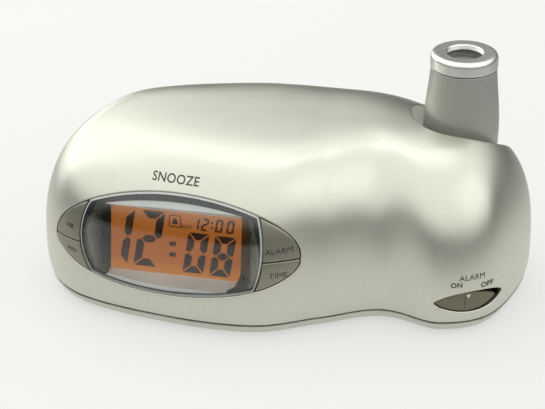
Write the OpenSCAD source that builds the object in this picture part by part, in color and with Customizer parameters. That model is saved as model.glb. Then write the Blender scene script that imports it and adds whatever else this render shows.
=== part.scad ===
// Projection alarm clock: two-lobed bedside case, almond display window with four
// side buttons, alarm slide switch and a projector tube that tips back in its well.
// Millimetres, +Z up, front towards -Y, origin on the table under the middle of the case.

/* [Case] */
// Width of the case at its widest line
case_w = 161.7; // [158:0.1:166]
// Depth of the case at its widest line, front to back
case_d = 94.9; // [92:0.1:98]
// Height at which the large lobe would crown if its top were not dished
crown_h = 60.5; // [60.5:0.5:66]
// Crown height of the small right lobe
lobe_h = 57.9; // [55:0.1:59]
// Height of the dished top facet above the table, at its middle
facet_h = 59.2; // [58:0.2:60]
// Rise of the facet towards the back, per millimetre
facet_slope = 0.07; // [0.04:0.01:0.09]
// Radius of the soft ridge round the facet
ridge_blend = 2.5; // [1:0.5:5]
// Height of the widest line of the case
widest_z = 14; // [13:1:18]
// How far the wall tucks in between the widest line and the table
tuck = 4.8; // [3:0.2:5]
// Wall thickness of the upper case
wall = 2; // [1.6:0.1:2.4]

/* [Base] */
// Gap between the table and the underside, set by the feet
foot_proud = 1; // [0.6:0.1:1.5]
// Thickness of the base floor
floor_t = 2.4; // [2.2:0.1:3]
// Height of the base rim above the table
rim_top = 4.7; // [4.2:0.1:5.5]
// Height of the locating lip above the base rim
lip_h = 2.8; // [2:0.2:4]
// Diameter of a rubber foot
foot_d = 10; // [8:0.5:12]
// Thickness of a rubber foot
foot_t = 2; // [1.8:0.1:2.2]

/* [Snooze travel] */
// How far the whole upper case goes down when it is pressed
snooze_travel = 0.5; // [0.3:0.1:0.8]
// Diameter of a shoulder screw's plain shank
shoulder_d = 3.6; // [3:0.1:4]
// Diameter of a shoulder screw's head
shoulder_head_d = 5.8; // [5:0.2:6.2]
// Free length of a return spring between its pad and the boss
spring_len = 8; // [7:0.5:9]
// Wire diameter of a return spring
spring_wire = 0.6; // [0.4:0.1:0.8]

/* [Battery compartment] */
// Diameter of a battery cell
cell_d = 10.2; // [10:0.1:10.5]
// Length of a battery cell without its nub
cell_len = 43.3; // [43:0.1:44]
// Room for the contacts at each end of a cell
contact_room = 2.6; // [2:0.2:3.6]
// Wall of the battery box
box_wall = 1.6; // [1.2:0.1:2]
// Thickness of the battery door
door_t = 1.8; // [1.6:0.1:2]

/* [Display] */
// Width of the visible display
view_w = 43.6; // [40:0.2:45]
// Height of the visible display
view_h = 22.1; // [20:0.1:23]
// Backward lean of the display in degrees
lean = 7.5; // [4:0.5:10]
// Width of the almond window from tip to tip
window_w = 84; // [81:0.5:85]
// Where the left buttons end, left of the window's middle
left_arc_out = 31.8; // [31:0.1:32.5]
// Where the right buttons end, right of the window's middle
right_arc_out = 30.6; // [30:0.1:31.5]
// Height of the window above its tips
window_up = 19.8; // [18.5:0.1:20.5]
// Depth of the window below its tips
window_down = 13.2; // [12.8:0.1:14]
// Thickness of the clear window lens
lens_t = 2; // [1.6:0.1:2.4]
// Thickness of the display glass
glass_t = 2.6; // [2:0.1:3]
// Thickness of a circuit board
board_t = 1.2; // [1:0.1:1.6]

/* [Buttons] */
// Travel of a button
button_travel = 0.5; // [0.3:0.1:0.8]
// Thickness of a button cap
button_t = 2.2; // [1.8:0.1:2.4]
// Gap round a button
button_gap = 0.25; // [0.2:0.05:0.35]
// Diameter of a tact switch plunger
plunger_d = 2.4; // [2:0.1:2.8]

/* [Alarm switch] */
// Length of the switch opening
slot_l = 24.6; // [22:0.2:26]
// Height of the switch opening
slot_h = 7.4; // [6:0.2:8]
// Travel of the switch knob
slider_travel = 3; // [2:0.2:4]

/* [Projector] */
// Radius of the well round the projector
well_r = 16.85; // [16.2:0.05:17.2]
// Height of the tilt axis above the table
pivot_z = 42; // [41:0.5:43]
// Largest radius of the projector tube
tube_r = 12.6; // [12:0.1:13]
// Radius of the tube under the focus ring
tube_top_r = 10.95; // [10.5:0.05:11.2]
// Height of the tube's shoulder above the tilt axis
tube_h = 33.2; // [30:0.2:36]
// Outer radius of the focus ring
ring_r = 11.15; // [10.8:0.05:11.6]
// Height of the focus ring
ring_h = 4.7; // [4:0.1:6]
// Diameter of a tilt pin
pin_d = 4; // [3:0.2:4.6]
// Travel of the lens cell over the focus ring's turn
focus_travel = 2.4; // [1:0.2:2.6]

/* [Hidden] */
$fn = 48;
eps = 0.01;
// Longer than the clock in any direction, for cuts that go right through
reach = 200;

// Levels of the stack, worked out from the base upwards
gap = 0.1;
case_z = rim_top + snooze_travel + gap;
floor_top = foot_proud + floor_t;

// ---- Case surface ----
// Widest outline of the case, anticlockwise from the left end, as control points of a closed curve
plan_raw = [
  [-77.5, 3], [-81.5, -19.5], [-66.5, -38], [-34, -46], [-3.5, -46], [17, -36],
  [35.5, -26.5], [55, -30.5], [72, -19.5], [79.5, 12], [70, 31.5], [44.5, 47],
  [13.5, 45], [-23, 41.5], [-60.5, 26]
];
spans = len(plan_raw);
front_spans = 9;

function curve(a, b, c, d, f) =
  0.5 * (2*b + (c - a)*f + (2*a - 5*b + 4*c - d)*f*f + (3*b - a - 3*c + d)*f*f*f);
function raw_at(t) = let (i = floor(t))
  curve(plan_raw[(i - 1 + spans) % spans], plan_raw[i % spans],
        plan_raw[(i + 1) % spans], plan_raw[(i + 2) % spans], t - i);
plan_fine = [for (i = [0:spans*24 - 1]) raw_at(i/24)];
plan_low = [min([for (p = plan_fine) p.x]), min([for (p = plan_fine) p.y])];
plan_high = [max([for (p = plan_fine) p.x]), max([for (p = plan_fine) p.y])];
plan_mid = (plan_low + plan_high)/2;
// Stretch from the control points to the case's own width and depth, for every place in it
stretch = [case_w/(plan_high.x - plan_low.x), case_d/(plan_high.y - plan_low.y)];
function placed(x, y) = [x*stretch.x, y*stretch.y];

// Point of the widest outline, with the middle of its box on the origin
function plan(t) = let (p = raw_at((t + spans) % spans) - plan_mid) placed(p.x, p.y);
function outward(t) = let (d = plan(t + 0.001) - plan(t - 0.001)) [d.y, -d.x]/norm(d);
// Outline parameter straight across the case from t
function across(t) = t <= front_spans
  ? spans - (spans - front_spans)*t/front_spans
  : front_spans*(spans - t)/(spans - front_spans);

// Fullness of the shoulder, by the way the wall faces: left, right, front, back
full_left = 2.42;
full_right = 2.57;
full_front = 2.32;
full_back = 2.6;
left_lift = 3.5;
tuck_power = 3.3;
spine_share = 0.62;
spine_y = 5.8*stretch.y;

function fullness(n) = n.x*n.x*(n.x < 0 ? full_left : full_right)
  + n.y*n.y*(n.y < 0 ? full_front : full_back);
function widest(n) = widest_z + (n.x < 0 ? left_lift*n.x*n.x : 0);

// Height field of the top: two lobes blended along a line, then cut by the dished facet
blend_x = 34.3*stretch.x;
blend_w = 7.7*stretch.x;
lobe_mid_x = -8*stretch.x;
crown_fall = 0.1;
crown_rise = 3.85;
function crown(p) = let (w = 1/(1 + exp(-(p.x - blend_x)/blend_w)),
    big = crown_h - crown_fall*pow((p.x - lobe_mid_x)/40, 2) + crown_rise*pow(p.y/30, 2))
  big*(1 - w) + lobe_h*w;
function facet(p) = facet_h + facet_slope*(p.y - 3);
function soft_min(a, b, k) = let (h = min(1, max(0, 0.5 + 0.5*(b - a)/k)))
  b*(1 - h) + a*h - k*h*(1 - h);

// Points of the surface, set in by off: the upper shell at angle a, and the wall at height z
function spine(t) = [spine_share*(plan(t).x + plan(across(t)).x)/2, spine_y];
function upper(t, a, off) = let (n = outward(t), e = fullness(n), w = widest(n),
    s = spine(t), q = s + (plan(t) - off*n - s)*pow(cos(a), 2/e),
    z = w + (crown(q) - off - w)*pow(sin(a), 2/e))
  [q.x, q.y, soft_min(z, facet(q) - off, ridge_blend)];
function wall_at(t, z, off) = let (n = outward(t), w = widest(n),
    q = plan(t) - (off + tuck*pow(max(0, (w - z)/w), tuck_power))*n)
  [q.x, q.y, z];
function ring_t(j, m) = let (i = j % (2*m)) i <= m
  ? front_spans*i/m
  : front_spans + (spans - front_spans)*(i - m)/m;

// Two triangles for each four-sided face, clockwise seen from outside
function quad(a, b, c, d) = [[a, b, c], [a, c, d]];
function ring_faces(rows, n) = [for (r = [0:rows - 2], j = [0:n - 1])
  each quad(r*n + j, (r + 1)*n + j, (r + 1)*n + (j + 1)%n, r*n + (j + 1)%n)];
// Flat end of a ring of 2m points, joined across the case
function cap_faces(first, m, up) = [for (j = [0:m - 1]) each let (
    a = first + j, b = first + j + 1, c = first + (2*m - j - 1), d = first + (2*m - j)%(2*m))
  j == 0 ? [up ? [a, c, b] : [a, b, c]]
  : j == m - 1 ? [up ? [a, d, b] : [a, b, d]]
  : (up ? quad(a, d, c, b) : quad(a, b, c, d))];

// The whole case form, from height z0 to the crown, set in by off
module case_form(z0, off, m, low, high) {
  n = 2*m;
  points = concat(
    [for (r = [0:low], j = [0:n - 1]) let (t = ring_t(j, m))
      wall_at(t, z0 + (widest(outward(t)) - z0)*r/low, off)],
    [for (k = [1:high - 1], j = [0:n - 1]) upper(ring_t(j, m), 90*k/high, off)],
    [for (j = [0:m]) upper(ring_t(j, m), 90, off)]);
  rows = low + high;
  top = rows*n;
  function on_spine(j) = top + (j <= m ? j : n - j);
  faces = concat(
    ring_faces(rows, n),
    cap_faces(0, m, false),
    [for (j = [0:n - 1]) each
      quad((rows - 1)*n + j, on_spine(j), on_spine(j + 1), (rows - 1)*n + (j + 1)%n)]);
  polyhedron(points, faces, convexity = 6);
}

// A slab of the case form between heights, each row set in by its own amount
module case_slab(zs, offs, m) {
  n = 2*m;
  rows = len(zs);
  points = [for (r = [0:rows - 1], j = [0:n - 1]) wall_at(ring_t(j, m), zs[r], offs[r])];
  faces = concat(ring_faces(rows, n), cap_faces(0, m, false), cap_faces((rows - 1)*n, m, true));
  polyhedron(points, faces, convexity = 4);
}

// The case outline at one height, set in by off, as a flat shape
module case_outline(z, off, m) offset(delta = -off)
  polygon([for (j = [0:2*m - 1]) let (p = wall_at(ring_t(j, m), z, 0)) [p.x, p.y]]);

// A block whose outer face is a patch of the case surface, pushed inwards along v
module skin_block(t0, t1, cols, z_low, a_high, rows, off, v) {
  lows = 2;
  n = cols + 1;
  function patch(c, r) = let (t = t0 + (t1 - t0)*c/cols) r <= lows
    ? wall_at(t, z_low + (widest(outward(t)) - z_low)*r/lows, off)
    : upper(t, a_high*(r - lows)/(rows - lows), off);
  outer = [for (r = [0:rows], c = [0:cols]) patch(c, r)];
  count = len(outer);
  points = concat(outer, [for (p = outer) p + v]);
  function at(r, c) = r*n + c;
  faces = concat(
    [for (r = [0:rows - 1], c = [0:cols - 1]) each
      quad(at(r, c), at(r + 1, c), at(r + 1, c + 1), at(r, c + 1))],
    [for (r = [0:rows - 1], c = [0:cols - 1]) each
      quad(count + at(r, c), count + at(r, c + 1), count + at(r + 1, c + 1), count + at(r + 1, c))],
    [for (c = [0:cols - 1]) each quad(at(0, c), at(0, c + 1), count + at(0, c + 1), count + at(0, c))],
    [for (c = [0:cols - 1]) each
      quad(at(rows, c), count + at(rows, c), count + at(rows, c + 1), at(rows, c + 1))],
    [for (r = [0:rows - 1]) each quad(at(r, 0), count + at(r, 0), count + at(r + 1, 0), at(r + 1, 0))],
    [for (r = [0:rows - 1]) each
      quad(at(r, cols), at(r + 1, cols), count + at(r + 1, cols), count + at(r, cols))]);
  polyhedron(points, faces, convexity = 6);
}

// ---- Small shared shapes ----
// Closed coil spring with its first turn on the floor of its own frame
module coil(r, wire, length, turns) {
  steps = 8;
  sides = 4;
  rise = length - wire;
  n = turns*steps;
  points = [for (i = [0:n], s = [0:sides - 1]) let (a = 360*i/steps, b = 360*s/sides + 45)
    [(r + wire/2*cos(b))*cos(a), (r + wire/2*cos(b))*sin(a), wire/2*sin(b) + wire/2 + rise*i/n]];
  faces = concat(
    [for (i = [0:n - 1], s = [0:sides - 1]) each quad(i*sides + s, (i + 1)*sides + s,
      (i + 1)*sides + (s + 1)%sides, i*sides + (s + 1)%sides)],
    [for (s = [1:sides - 2]) [0, s, s + 1]],
    [for (s = [1:sides - 2]) [n*sides, n*sides + s + 1, n*sides + s]]);
  polyhedron(points, faces, convexity = 8);
}

// Pan head screw: head on top of z = 0, shank below
module screw(shank_d, length, head_d, head_h) {
  difference() {
    cylinder(d = head_d, h = head_h);
    for (a = [0, 90]) rotate(a) translate([-head_d*0.3, -0.35, head_h*0.5])
      cube([head_d*0.6, 0.7, head_h]);
  }
  translate([0, 0, -length]) cylinder(d = shank_d, h = length + eps);
}

// Rounded rectangular plate
module plate(w, h, t, r) {
  linear_extrude(t) hull() for (x = [-1, 1], y = [-1, 1])
    translate([x*(w/2 - r), y*(h/2 - r)]) circle(r = r, $fn = 24);
}

// ---- Base ----
// Shoulder screws: the pad under each spring, and the boss above it
pad_top = 5;
pad_d = 9;
head_room = 2.4;
boss_bottom = pad_top + spring_len;
boss_d = 7.4;
thread_d = 2.4;
thread_len = 8;
base_inset = wall + 0.55;
lip_t = 1.4;
rim_chamfer = 0.8;
foot_spots = [placed(-62, -25), placed(-58, 27), placed(60, -14), placed(54, 26)];
foot_clear = 0.1;

// Battery box, its middle and its inner size
contact_t = 0.5;
box_x = -22*stretch.x;
box_y = 8*stretch.y;
box_clear = 0.3;
box_l = cell_len + 1.2 + 2*contact_room;
box_w = 2*(cell_d + box_clear) + 0.6;
door_top = foot_proud + door_t;
box_top = door_top + box_clear + cell_d + box_clear;
door_clear = 0.2;
door_l = box_l + 3.4;
door_w = box_w + 2.4;
pip_d = 1.2;
pip_len = 1.2;
tongue_t = 1;
tongue_w = 2.4;
tongue_h = 3.4;
pip_x = box_x - door_l/2 + door_t/2;
pip_z = foot_proud + door_t/2;

// Shoulder screws: three near the wall, and one midway between the battery box and the lip
lip_left = -59.55*stretch.x;
screw_spots = [
  placed(-64, -12),
  [(box_x - box_l/2 - box_wall + lip_left)/2, 18*stretch.y],
  placed(69.2, 0.8),
  placed(22, 34)
];

// Buzzer ring under the projector well
buzzer_x = 50*stretch.x;
buzzer_y = 11*stretch.y;
buzzer_d = 22;
buzzer_h = 6;
sound_slots = 5;

// Pedestal of the snooze switch
snooze_x = -20*stretch.x;
snooze_y = -15*stretch.y;
tact_w = 6;
tact_h = 3.5;
snooze_seat = 12;
snooze_plunger_d = 3.2;
snooze_stick = 1;

module at_spots(spots) for (p = spots) translate([p.x, p.y, 0]) children();

module base() color("#c4c4bc") difference() {
  union() {
    difference() {
      union() {
        case_slab([foot_proud, foot_proud + rim_chamfer, rim_top], [rim_chamfer, 0, 0], 32);
        // Lip that centres the upper case
        translate([0, 0, floor_top - 1]) linear_extrude(rim_top + lip_h - floor_top + 1)
          case_outline(rim_top, base_inset, 24);
      }
      translate([0, 0, floor_top]) linear_extrude(20) case_outline(rim_top, base_inset + lip_t, 24);
    }
    // Spring pads, battery box, buzzer ring and snooze pedestal
    at_spots(screw_spots) translate([0, 0, foot_proud + 1]) cylinder(d = pad_d, h = pad_top - foot_proud - 1);
    translate([box_x - box_l/2 - box_wall, box_y - box_w/2 - box_wall, floor_top - 1])
      cube([box_l + 2*box_wall, box_w + 2*box_wall, box_top + box_wall - floor_top + 1]);
    translate([buzzer_x, buzzer_y, floor_top - 1]) difference() {
      cylinder(d = buzzer_d + 3, h = 4);
      translate([0, 0, 1]) cylinder(d = buzzer_d + 0.2, h = 5);
    }
    translate([snooze_x - tact_w/2 - 0.6, snooze_y - tact_w/2 - 0.6, floor_top - 1])
      cube([tact_w + 1.2, tact_w + 1.2, snooze_seat - floor_top + 1]);
  }
  // Shoulder screw holes with room for the heads
  at_spots(screw_spots) {
    cylinder(d = shoulder_d + 0.4, h = 10);
    cylinder(d = shoulder_head_d + 0.6, h = foot_proud + head_room);
  }
  at_spots(foot_spots) cylinder(d = foot_d + 2*foot_clear, h = foot_t);
  // Inside of the battery box and the door's seat
  translate([box_x - box_l/2, box_y - box_w/2, 0]) cube([box_l, box_w, box_top]);
  translate([box_x - door_l/2 - door_clear, box_y - door_w/2 - door_clear, 0])
    cube([door_l + 2*door_clear, door_w + 2*door_clear, door_top + 0.1]);
  translate([pip_x, box_y, pip_z]) rotate([90, 0, 0])
    cylinder(d = pip_d + 0.12, h = door_w + 2*pip_len + 0.4, center = true);
  // Finger notch at the free end of the door
  translate([box_x + door_l/2 - 1, box_y, 0]) cylinder(d = 10, h = foot_proud + 1);
  // Sound slots under the buzzer
  for (i = [0:sound_slots - 1])
    translate([buzzer_x - 6, buzzer_y + (i - (sound_slots - 1)/2)*3.2 - 0.7, 0]) cube([12, 1.4, 10]);
}

module rubber_feet() color("#3a3a3a") at_spots(foot_spots) {
  cylinder(d1 = foot_d - 1, d2 = foot_d, h = 0.6);
  translate([0, 0, 0.6 - eps]) cylinder(d = foot_d, h = foot_t - 0.6 + eps);
}

module battery_door() color("#c0c0b8") difference() {
  union() {
    translate([pip_x, box_y - door_w/2, foot_proud]) cube([door_l - door_t/2, door_w, door_t]);
    translate([pip_x, box_y, pip_z]) rotate([90, 0, 0]) {
      cylinder(d = door_t, h = door_w, center = true);
      cylinder(d = pip_d, h = door_w + 2*pip_len, center = true);
    }
    // Latch tongue inside the box end, between the two contacts
    translate([box_x + box_l/2 - contact_t - tongue_t, box_y - tongue_w/2, door_top - eps])
      cube([tongue_t, tongue_w, tongue_h]);
  }
  // Grip ridges
  for (i = [0:3]) translate([box_x + door_l/2 - 12 + i*1.6, box_y - 5, foot_proud - eps])
    cube([0.8, 10, 0.4]);
}

// A cell along +X, flat end at x = 0
module cell() rotate([0, 90, 0]) {
  cylinder(d = cell_d, h = cell_len);
  translate([0, 0, cell_len - eps]) cylinder(d = 3.8, h = 1.2 + eps);
}
cell_z = door_top + box_clear + cell_d/2;
cell_dy = (cell_d + box_clear)/2 + 0.1;
cell_x = -(cell_len + 1.2)/2;
module cell_front() color("#4f6b54") translate([box_x, box_y - cell_dy, cell_z])
  translate([cell_x, 0, 0]) cell();
module cell_rear() color("#4f6b54") translate([box_x, box_y + cell_dy, cell_z])
  mirror([1, 0, 0]) translate([cell_x, 0, 0]) cell();

module contact_plates() color("#b9b9b4") translate([box_x, box_y, cell_z])
  for (e = [-1, 1], s = [-1, 1]) translate([e*(box_l/2 - contact_t/2), s*cell_dy, 0]) {
    cube([contact_t, 8, 8], center = true);
    // Dimple that meets the nub
    if (e == -s) translate([-e*contact_t/2, 0, 0]) rotate([0, -e*90, 0])
      cylinder(d1 = 5, d2 = 3, h = contact_room - contact_t);
  }
module contact_springs() color("#d0d0cc") translate([box_x, box_y, cell_z])
  for (s = [-1, 1]) translate([s*(box_l/2 - contact_t), s*cell_dy, 0]) rotate([0, -s*90, 0])
    coil(2.8, 0.5, contact_room - contact_t, 2.5);

module buzzer() color("#222222") translate([buzzer_x, buzzer_y, floor_top]) difference() {
  cylinder(d = buzzer_d, h = buzzer_h);
  translate([0, 0, -1]) cylinder(d = 4, h = 3);
  translate([0, 0, buzzer_h - 0.8]) difference() {
    cylinder(d = buzzer_d - 3, h = 2);
    cylinder(d = buzzer_d - 7, h = 2);
  }
}

module snooze_switch() color("#303030") translate([snooze_x, snooze_y, snooze_seat]) difference() {
  translate([-tact_w/2, -tact_w/2, 0]) cube([tact_w, tact_w, tact_h]);
  translate([0, 0, 1]) cylinder(d = snooze_plunger_d + 0.3, h = tact_h);
}
snooze_top = snooze_seat + tact_h + snooze_stick;
module snooze_plunger() color("#c9b27c")
  translate([snooze_x, snooze_y, snooze_seat + 1 + snooze_travel + 0.2])
    cylinder(d = snooze_plunger_d, h = snooze_top - snooze_seat - 1.2 - snooze_travel);

module return_springs() color("#cfcfca") at_spots(screw_spots) translate([0, 0, pad_top])
  coil(shoulder_d/2 + 0.9, spring_wire, spring_len, 5);

module shoulder_screws() color("#9a9a96") at_spots(screw_spots)
  translate([0, 0, foot_proud + head_room]) difference() {
    union() {
      translate([0, 0, -1.4]) cylinder(d = shoulder_head_d, h = 1.4);
      cylinder(d = shoulder_d, h = boss_bottom - foot_proud - head_room);
      cylinder(d = thread_d, h = boss_bottom - foot_proud - head_room + thread_len);
    }
    for (a = [0, 90]) rotate(a) translate([-1.6, -0.35, -1.5]) cube([3.2, 0.7, 0.9]);
  }

// ---- Upper case ----
// Frame of the display: middle of the glass front, X right, Y up, Z towards the viewer
display_at = [-29.8*stretch.x, -35.6*stretch.y, 27.25];
module on_display() translate(display_at) rotate([90 - lean, 0, 0]) children();

// Almond window, as a flat shape in X and Z
window_x = -29.7*stretch.x;
tip_z = 26.8;
tip_rise = 1.9;
window_skew = 0.08;
window_steps = 20;
function window_top(u) = [window_x + u*window_w/2, tip_z + tip_rise*u + window_up*sqrt(1 - u*u)];
function window_bottom(u) = [window_x + u*window_w/2,
  tip_z + tip_rise*u - window_down*pow(1 - u*u, 0.5 - window_skew*u)];
module window_shape() polygon(concat(
  [for (i = [0:window_steps - 1]) window_top(-cos(180*i/window_steps))],
  [for (i = [0:window_steps - 1]) window_bottom(cos(180*i/window_steps))]));

// Lens part of the window, between the left and right button arcs
left_arc_x = window_x - left_arc_out;
left_arc_z = 28.7;
left_arc_r = 21.5;
right_arc_x = window_x + right_arc_out;
right_arc_z = 31;
right_arc_r = 35;
module lens_shape() intersection() {
  window_shape();
  union() {
    translate([left_arc_x + left_arc_r, left_arc_z]) circle(r = left_arc_r, $fn = 72);
    translate([left_arc_x + left_arc_r, 0]) square(reach);
  }
  union() {
    translate([right_arc_x - right_arc_r, right_arc_z]) circle(r = right_arc_r, $fn = 96);
    translate([right_arc_x - right_arc_r - reach, 0]) square(reach);
  }
}
// How far in front of the case a cut starts, and how far back it reaches
cut_front = -70;
cut_back = -20;
// A flat X-Z shape pushed back along +Y from y0 to y1
module along_y(y0, y1) translate([0, y1, 0]) rotate([90, 0, 0]) linear_extrude(y1 - y0) children();

// Frame of the alarm switch: X along the slot, Y up, Z outwards
slot_at = [63.7*stretch.x, -22.7*stretch.y, 12.7];
slot_turn = 36.7;
module on_slot() translate(slot_at) rotate([90, 0, slot_turn]) children();
slot_out = [sin(slot_turn), -cos(slot_turn), 0];
function slot_side(l, h, dir) = [for (i = [0:16]) let (u = -cos(180*i/16))
  [dir*u*l/2, dir*h/2*pow(1 - u*u, 0.7)]];
module slot_shape() polygon(concat(slot_side(slot_l, slot_h, 1),
  [for (i = [1:15]) slot_side(slot_l, slot_h, -1)[i]]));
switch_board_z = -7.8;
switch_post_x = 14.4;
switch_post_d = 4;

// Projector well
well_at = placed(54.6, 18.2);
well_floor = 28.4;
well_wall = 1.6;
// Ribs of the screw bosses: thickness, where they start and are at full width, and how far they stand out
rib_t = 1.2;
rib_start = 16;
rib_full = 34;
rib_out = 3;
post_foot_d = 5;
// Screws into bosses of the case
pilot_d = 2.1;
pilot_len = 6;
clear_d = 2.3;
notch_w = 27;
cradle_t = 2.4;
cradle_screw_r = well_r + well_wall + 2.2;
cradle_screws_at = [for (a = [145, 215, 280, 335]) [cradle_screw_r, a]];

module well_outside() translate([well_at.x, well_at.y, well_floor - cradle_t]) {
  cylinder(r = well_r + well_wall, h = reach, $fn = 72);
  translate([-notch_w/2 - well_wall, 0, 0]) cube([notch_w + 2*well_wall, reach, reach]);
}
module well_inside() translate([well_at.x, well_at.y, 0]) {
  translate([0, 0, well_floor - cradle_t - 1]) cylinder(r = well_r, h = reach, $fn = 72);
  translate([-notch_w/2, 0, well_floor]) cube([notch_w, reach, reach]);
}

module upper_case() color("#c9c9c4") difference() {
  union() {
    difference() {
      case_form(case_z, 0, 36, 2, 12);
      case_form(case_z - 1, wall, 36, 2, 12);
    }
    intersection() {
      case_form(case_z + eps, 0.4, 24, 2, 8);
      union() {
        well_outside();
        // Bosses of the shoulder screws, with their ribs
        at_spots(screw_spots) translate([0, 0, boss_bottom]) {
          cylinder(d = boss_d, h = reach, $fn = 24);
          for (a = [0:90:270]) rotate(a) hull() {
            translate([0, -rib_t/2, rib_start]) cube([2, rib_t, reach]);
            translate([0, -rib_t/2, rib_full]) cube([boss_d/2 + rib_out, rib_t, reach]);
          }
        }
        // Post that pushes the snooze switch
        translate([snooze_x, snooze_y, snooze_top]) {
          cylinder(d = post_foot_d, h = reach, $fn = 24);
          translate([-post_foot_d, -rib_t/2, 12]) cube([2*post_foot_d, rib_t, reach]);
        }
        // Posts of the switch board
        on_slot() for (s = [-1, 1]) translate([s*switch_post_x, 0, switch_board_z])
          cylinder(d = switch_post_d, h = 14, $fn = 24);
        // Cradle screw bosses beside the well
        for (c = cradle_screws_at) translate([well_at.x, well_at.y, 0]) rotate(c[1])
          translate([c[0], 0, well_floor - cradle_t]) hull() {
            cylinder(d = 5, h = 8, $fn = 24);
            translate([-3, -1.5, 0]) cube([2, 3, 8]);
          }
      }
    }
  }
  well_inside();
  along_y(cut_front, cut_back) offset(delta = 0.02) window_shape();
  on_slot() translate([0, 0, -6]) linear_extrude(20) slot_shape();
  // Screw holes
  at_spots(screw_spots) translate([0, 0, boss_bottom - 1]) cylinder(d = thread_d + 0.3, h = thread_len + 2, $fn = 16);
  on_slot() for (s = [-1, 1]) translate([s*switch_post_x, 0, switch_board_z - 1])
    cylinder(d = pilot_d, h = pilot_len + 1, $fn = 16);
  for (c = cradle_screws_at) translate([well_at.x, well_at.y, 0]) rotate(c[1])
    translate([c[0], 0, well_floor - cradle_t - 1]) cylinder(d = pilot_d, h = pilot_len + 1, $fn = 16);
}

// ---- Display ----
module front_skin(off, depth, t0 = 1.75, cols = 11)
  skin_block(t0, t0 + cols/4, cols, 8, 40, 8, off, [0, depth, 0]);

frame_off = wall + 0.35;
flange = 2.2;
side_land = 1.6;
lens_gap = 0.12;
glass_w = view_w + 5.4;
glass_h = view_h + 5.4;
tray_wall = 1.4;
tray_clear = 0.15;
tray_w = glass_w + 2*(tray_clear + tray_wall);
tray_h = glass_h + 2*(tray_clear + tray_wall);
post_d = 4.6;
post_x = glass_w/2 + 3.1;
post_y = 9.5;
board_z = -7;
funnel_h = 12;
funnel_wide = 1.36;
funnel_tall = 1.62;

module display_frame() color("#8e948c") difference() {
  intersection() {
    front_skin(frame_off, 24);
    union() {
      intersection() {
        along_y(cut_front, cut_back) intersection() {
          difference() {
            offset(delta = flange) lens_shape();
            for (left = [true, false]) offset(delta = 0.3) side_shape(left);
          }
          translate([left_arc_x + side_land, 0]) square([right_arc_x - left_arc_x - 2*side_land, reach]);
        }
        on_display() translate([-reach/2, -reach/2, 0]) cube(reach);
      }
      // Tray round the glass, with the posts that carry the main board
      on_display() translate([-tray_w/2, -tray_h/2, -glass_t]) cube([tray_w, tray_h, glass_t + 0.4]);
      on_display() for (x = [-1, 1], y = [-1, 1]) translate([x*post_x, y*post_y, board_z])
        cylinder(d = post_d, h = -board_z + 0.4);
    }
  }
  // Seat of the glass, and the sloped opening down to it
  on_display() translate([-glass_w/2 - tray_clear, -glass_h/2 - tray_clear, board_z - 2])
    cube([glass_w + 2*tray_clear, glass_h + 2*tray_clear, -board_z + 2]);
  on_display() hull() {
    translate([-view_w/2, -view_h/2, -1]) cube([view_w, view_h, 1]);
    translate([-view_w*funnel_wide/2, -view_h*funnel_tall/2, funnel_h])
      cube([view_w*funnel_wide, view_h*funnel_tall, eps]);
  }
  on_display() for (x = [-1, 1], y = [-1, 1]) translate([x*post_x, y*post_y, board_z - 1])
    cylinder(d = 1.7, h = 6);
}

module window_lens() color([0.8, 0.86, 0.84, 0.35]) difference() {
  intersection() {
    front_skin(0, 8);
    along_y(cut_front, cut_back) offset(delta = -lens_gap) lens_shape();
  }
  front_skin(lens_t, 12);
}

module display_glass() color("#c27a2c") on_display() translate([-glass_w/2, -glass_h/2, -glass_t])
  cube([glass_w, glass_h, glass_t - 0.02]);

light_h = view_h + 0.4;
light_z = -glass_t - 0.05;
light_t = light_z - board_z - 0.05;
module backlight_panel() color("#e8dcc4") on_display() translate([-glass_w/2 + 1, -light_h/2, light_z - light_t])
  cube([glass_w - 2, light_h, light_t]);

strip_t = 1.8;
module contact_strips() color("#3c3c3c") on_display() for (s = [-1, 1])
  translate([-glass_w/2 + 1.5, s*(glass_h/2 - strip_t/2 - 0.2) - strip_t/2, board_z])
    cube([glass_w - 3, strip_t, -board_z - glass_t]);

// Main board behind the display, reaching both button groups
board_left = -38*stretch.x;
board_right = 38.5*stretch.x;
board_h = 29;
board_corner = 9;
module main_board() color("#2f6b3c") on_display() difference() {
  translate([0, 0, board_z - board_t]) linear_extrude(board_t) difference() {
    translate([board_left, -board_h/2]) square([board_right - board_left, board_h]);
    for (x = [board_left, board_right], y = [-1, 1]) translate([x, y*board_h/2]) rotate(45)
      square(board_corner, center = true);
  }
  for (x = [-1, 1], y = [-1, 1]) translate([x*post_x, y*post_y, board_z - 5]) cylinder(d = clear_d, h = 10);
}
module board_screws() color("#8f8f8a") on_display() for (x = [-1, 1], y = [-1, 1])
  translate([x*post_x, y*post_y, board_z - board_t]) rotate([180, 0, 0]) screw(1.7, 5.5, 3.6, 1.4);

module clock_chip() color("#1d1d1d") on_display() translate([-6, 0, board_z - board_t]) {
  translate([-5, -5, -1.4]) cube([10, 10, 1.4]);
  // Quartz crystal beside the chip
  translate([14, -1.6, -1.6]) rotate([0, 90, 0]) cylinder(d = 3.2, h = 8);
}

// ---- Buttons ----
// Dividing line of each pair: a point and its slope
left_cut = [left_arc_x - 4.8, 25.3];
left_cut_turn = 2.4;
right_cut = [right_arc_x + 5.9, 28.2];
right_cut_turn = 0.5;
cut_gap = 0.4;
// Half width of the middle of the window, where no button reaches
middle_half = 15;

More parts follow.
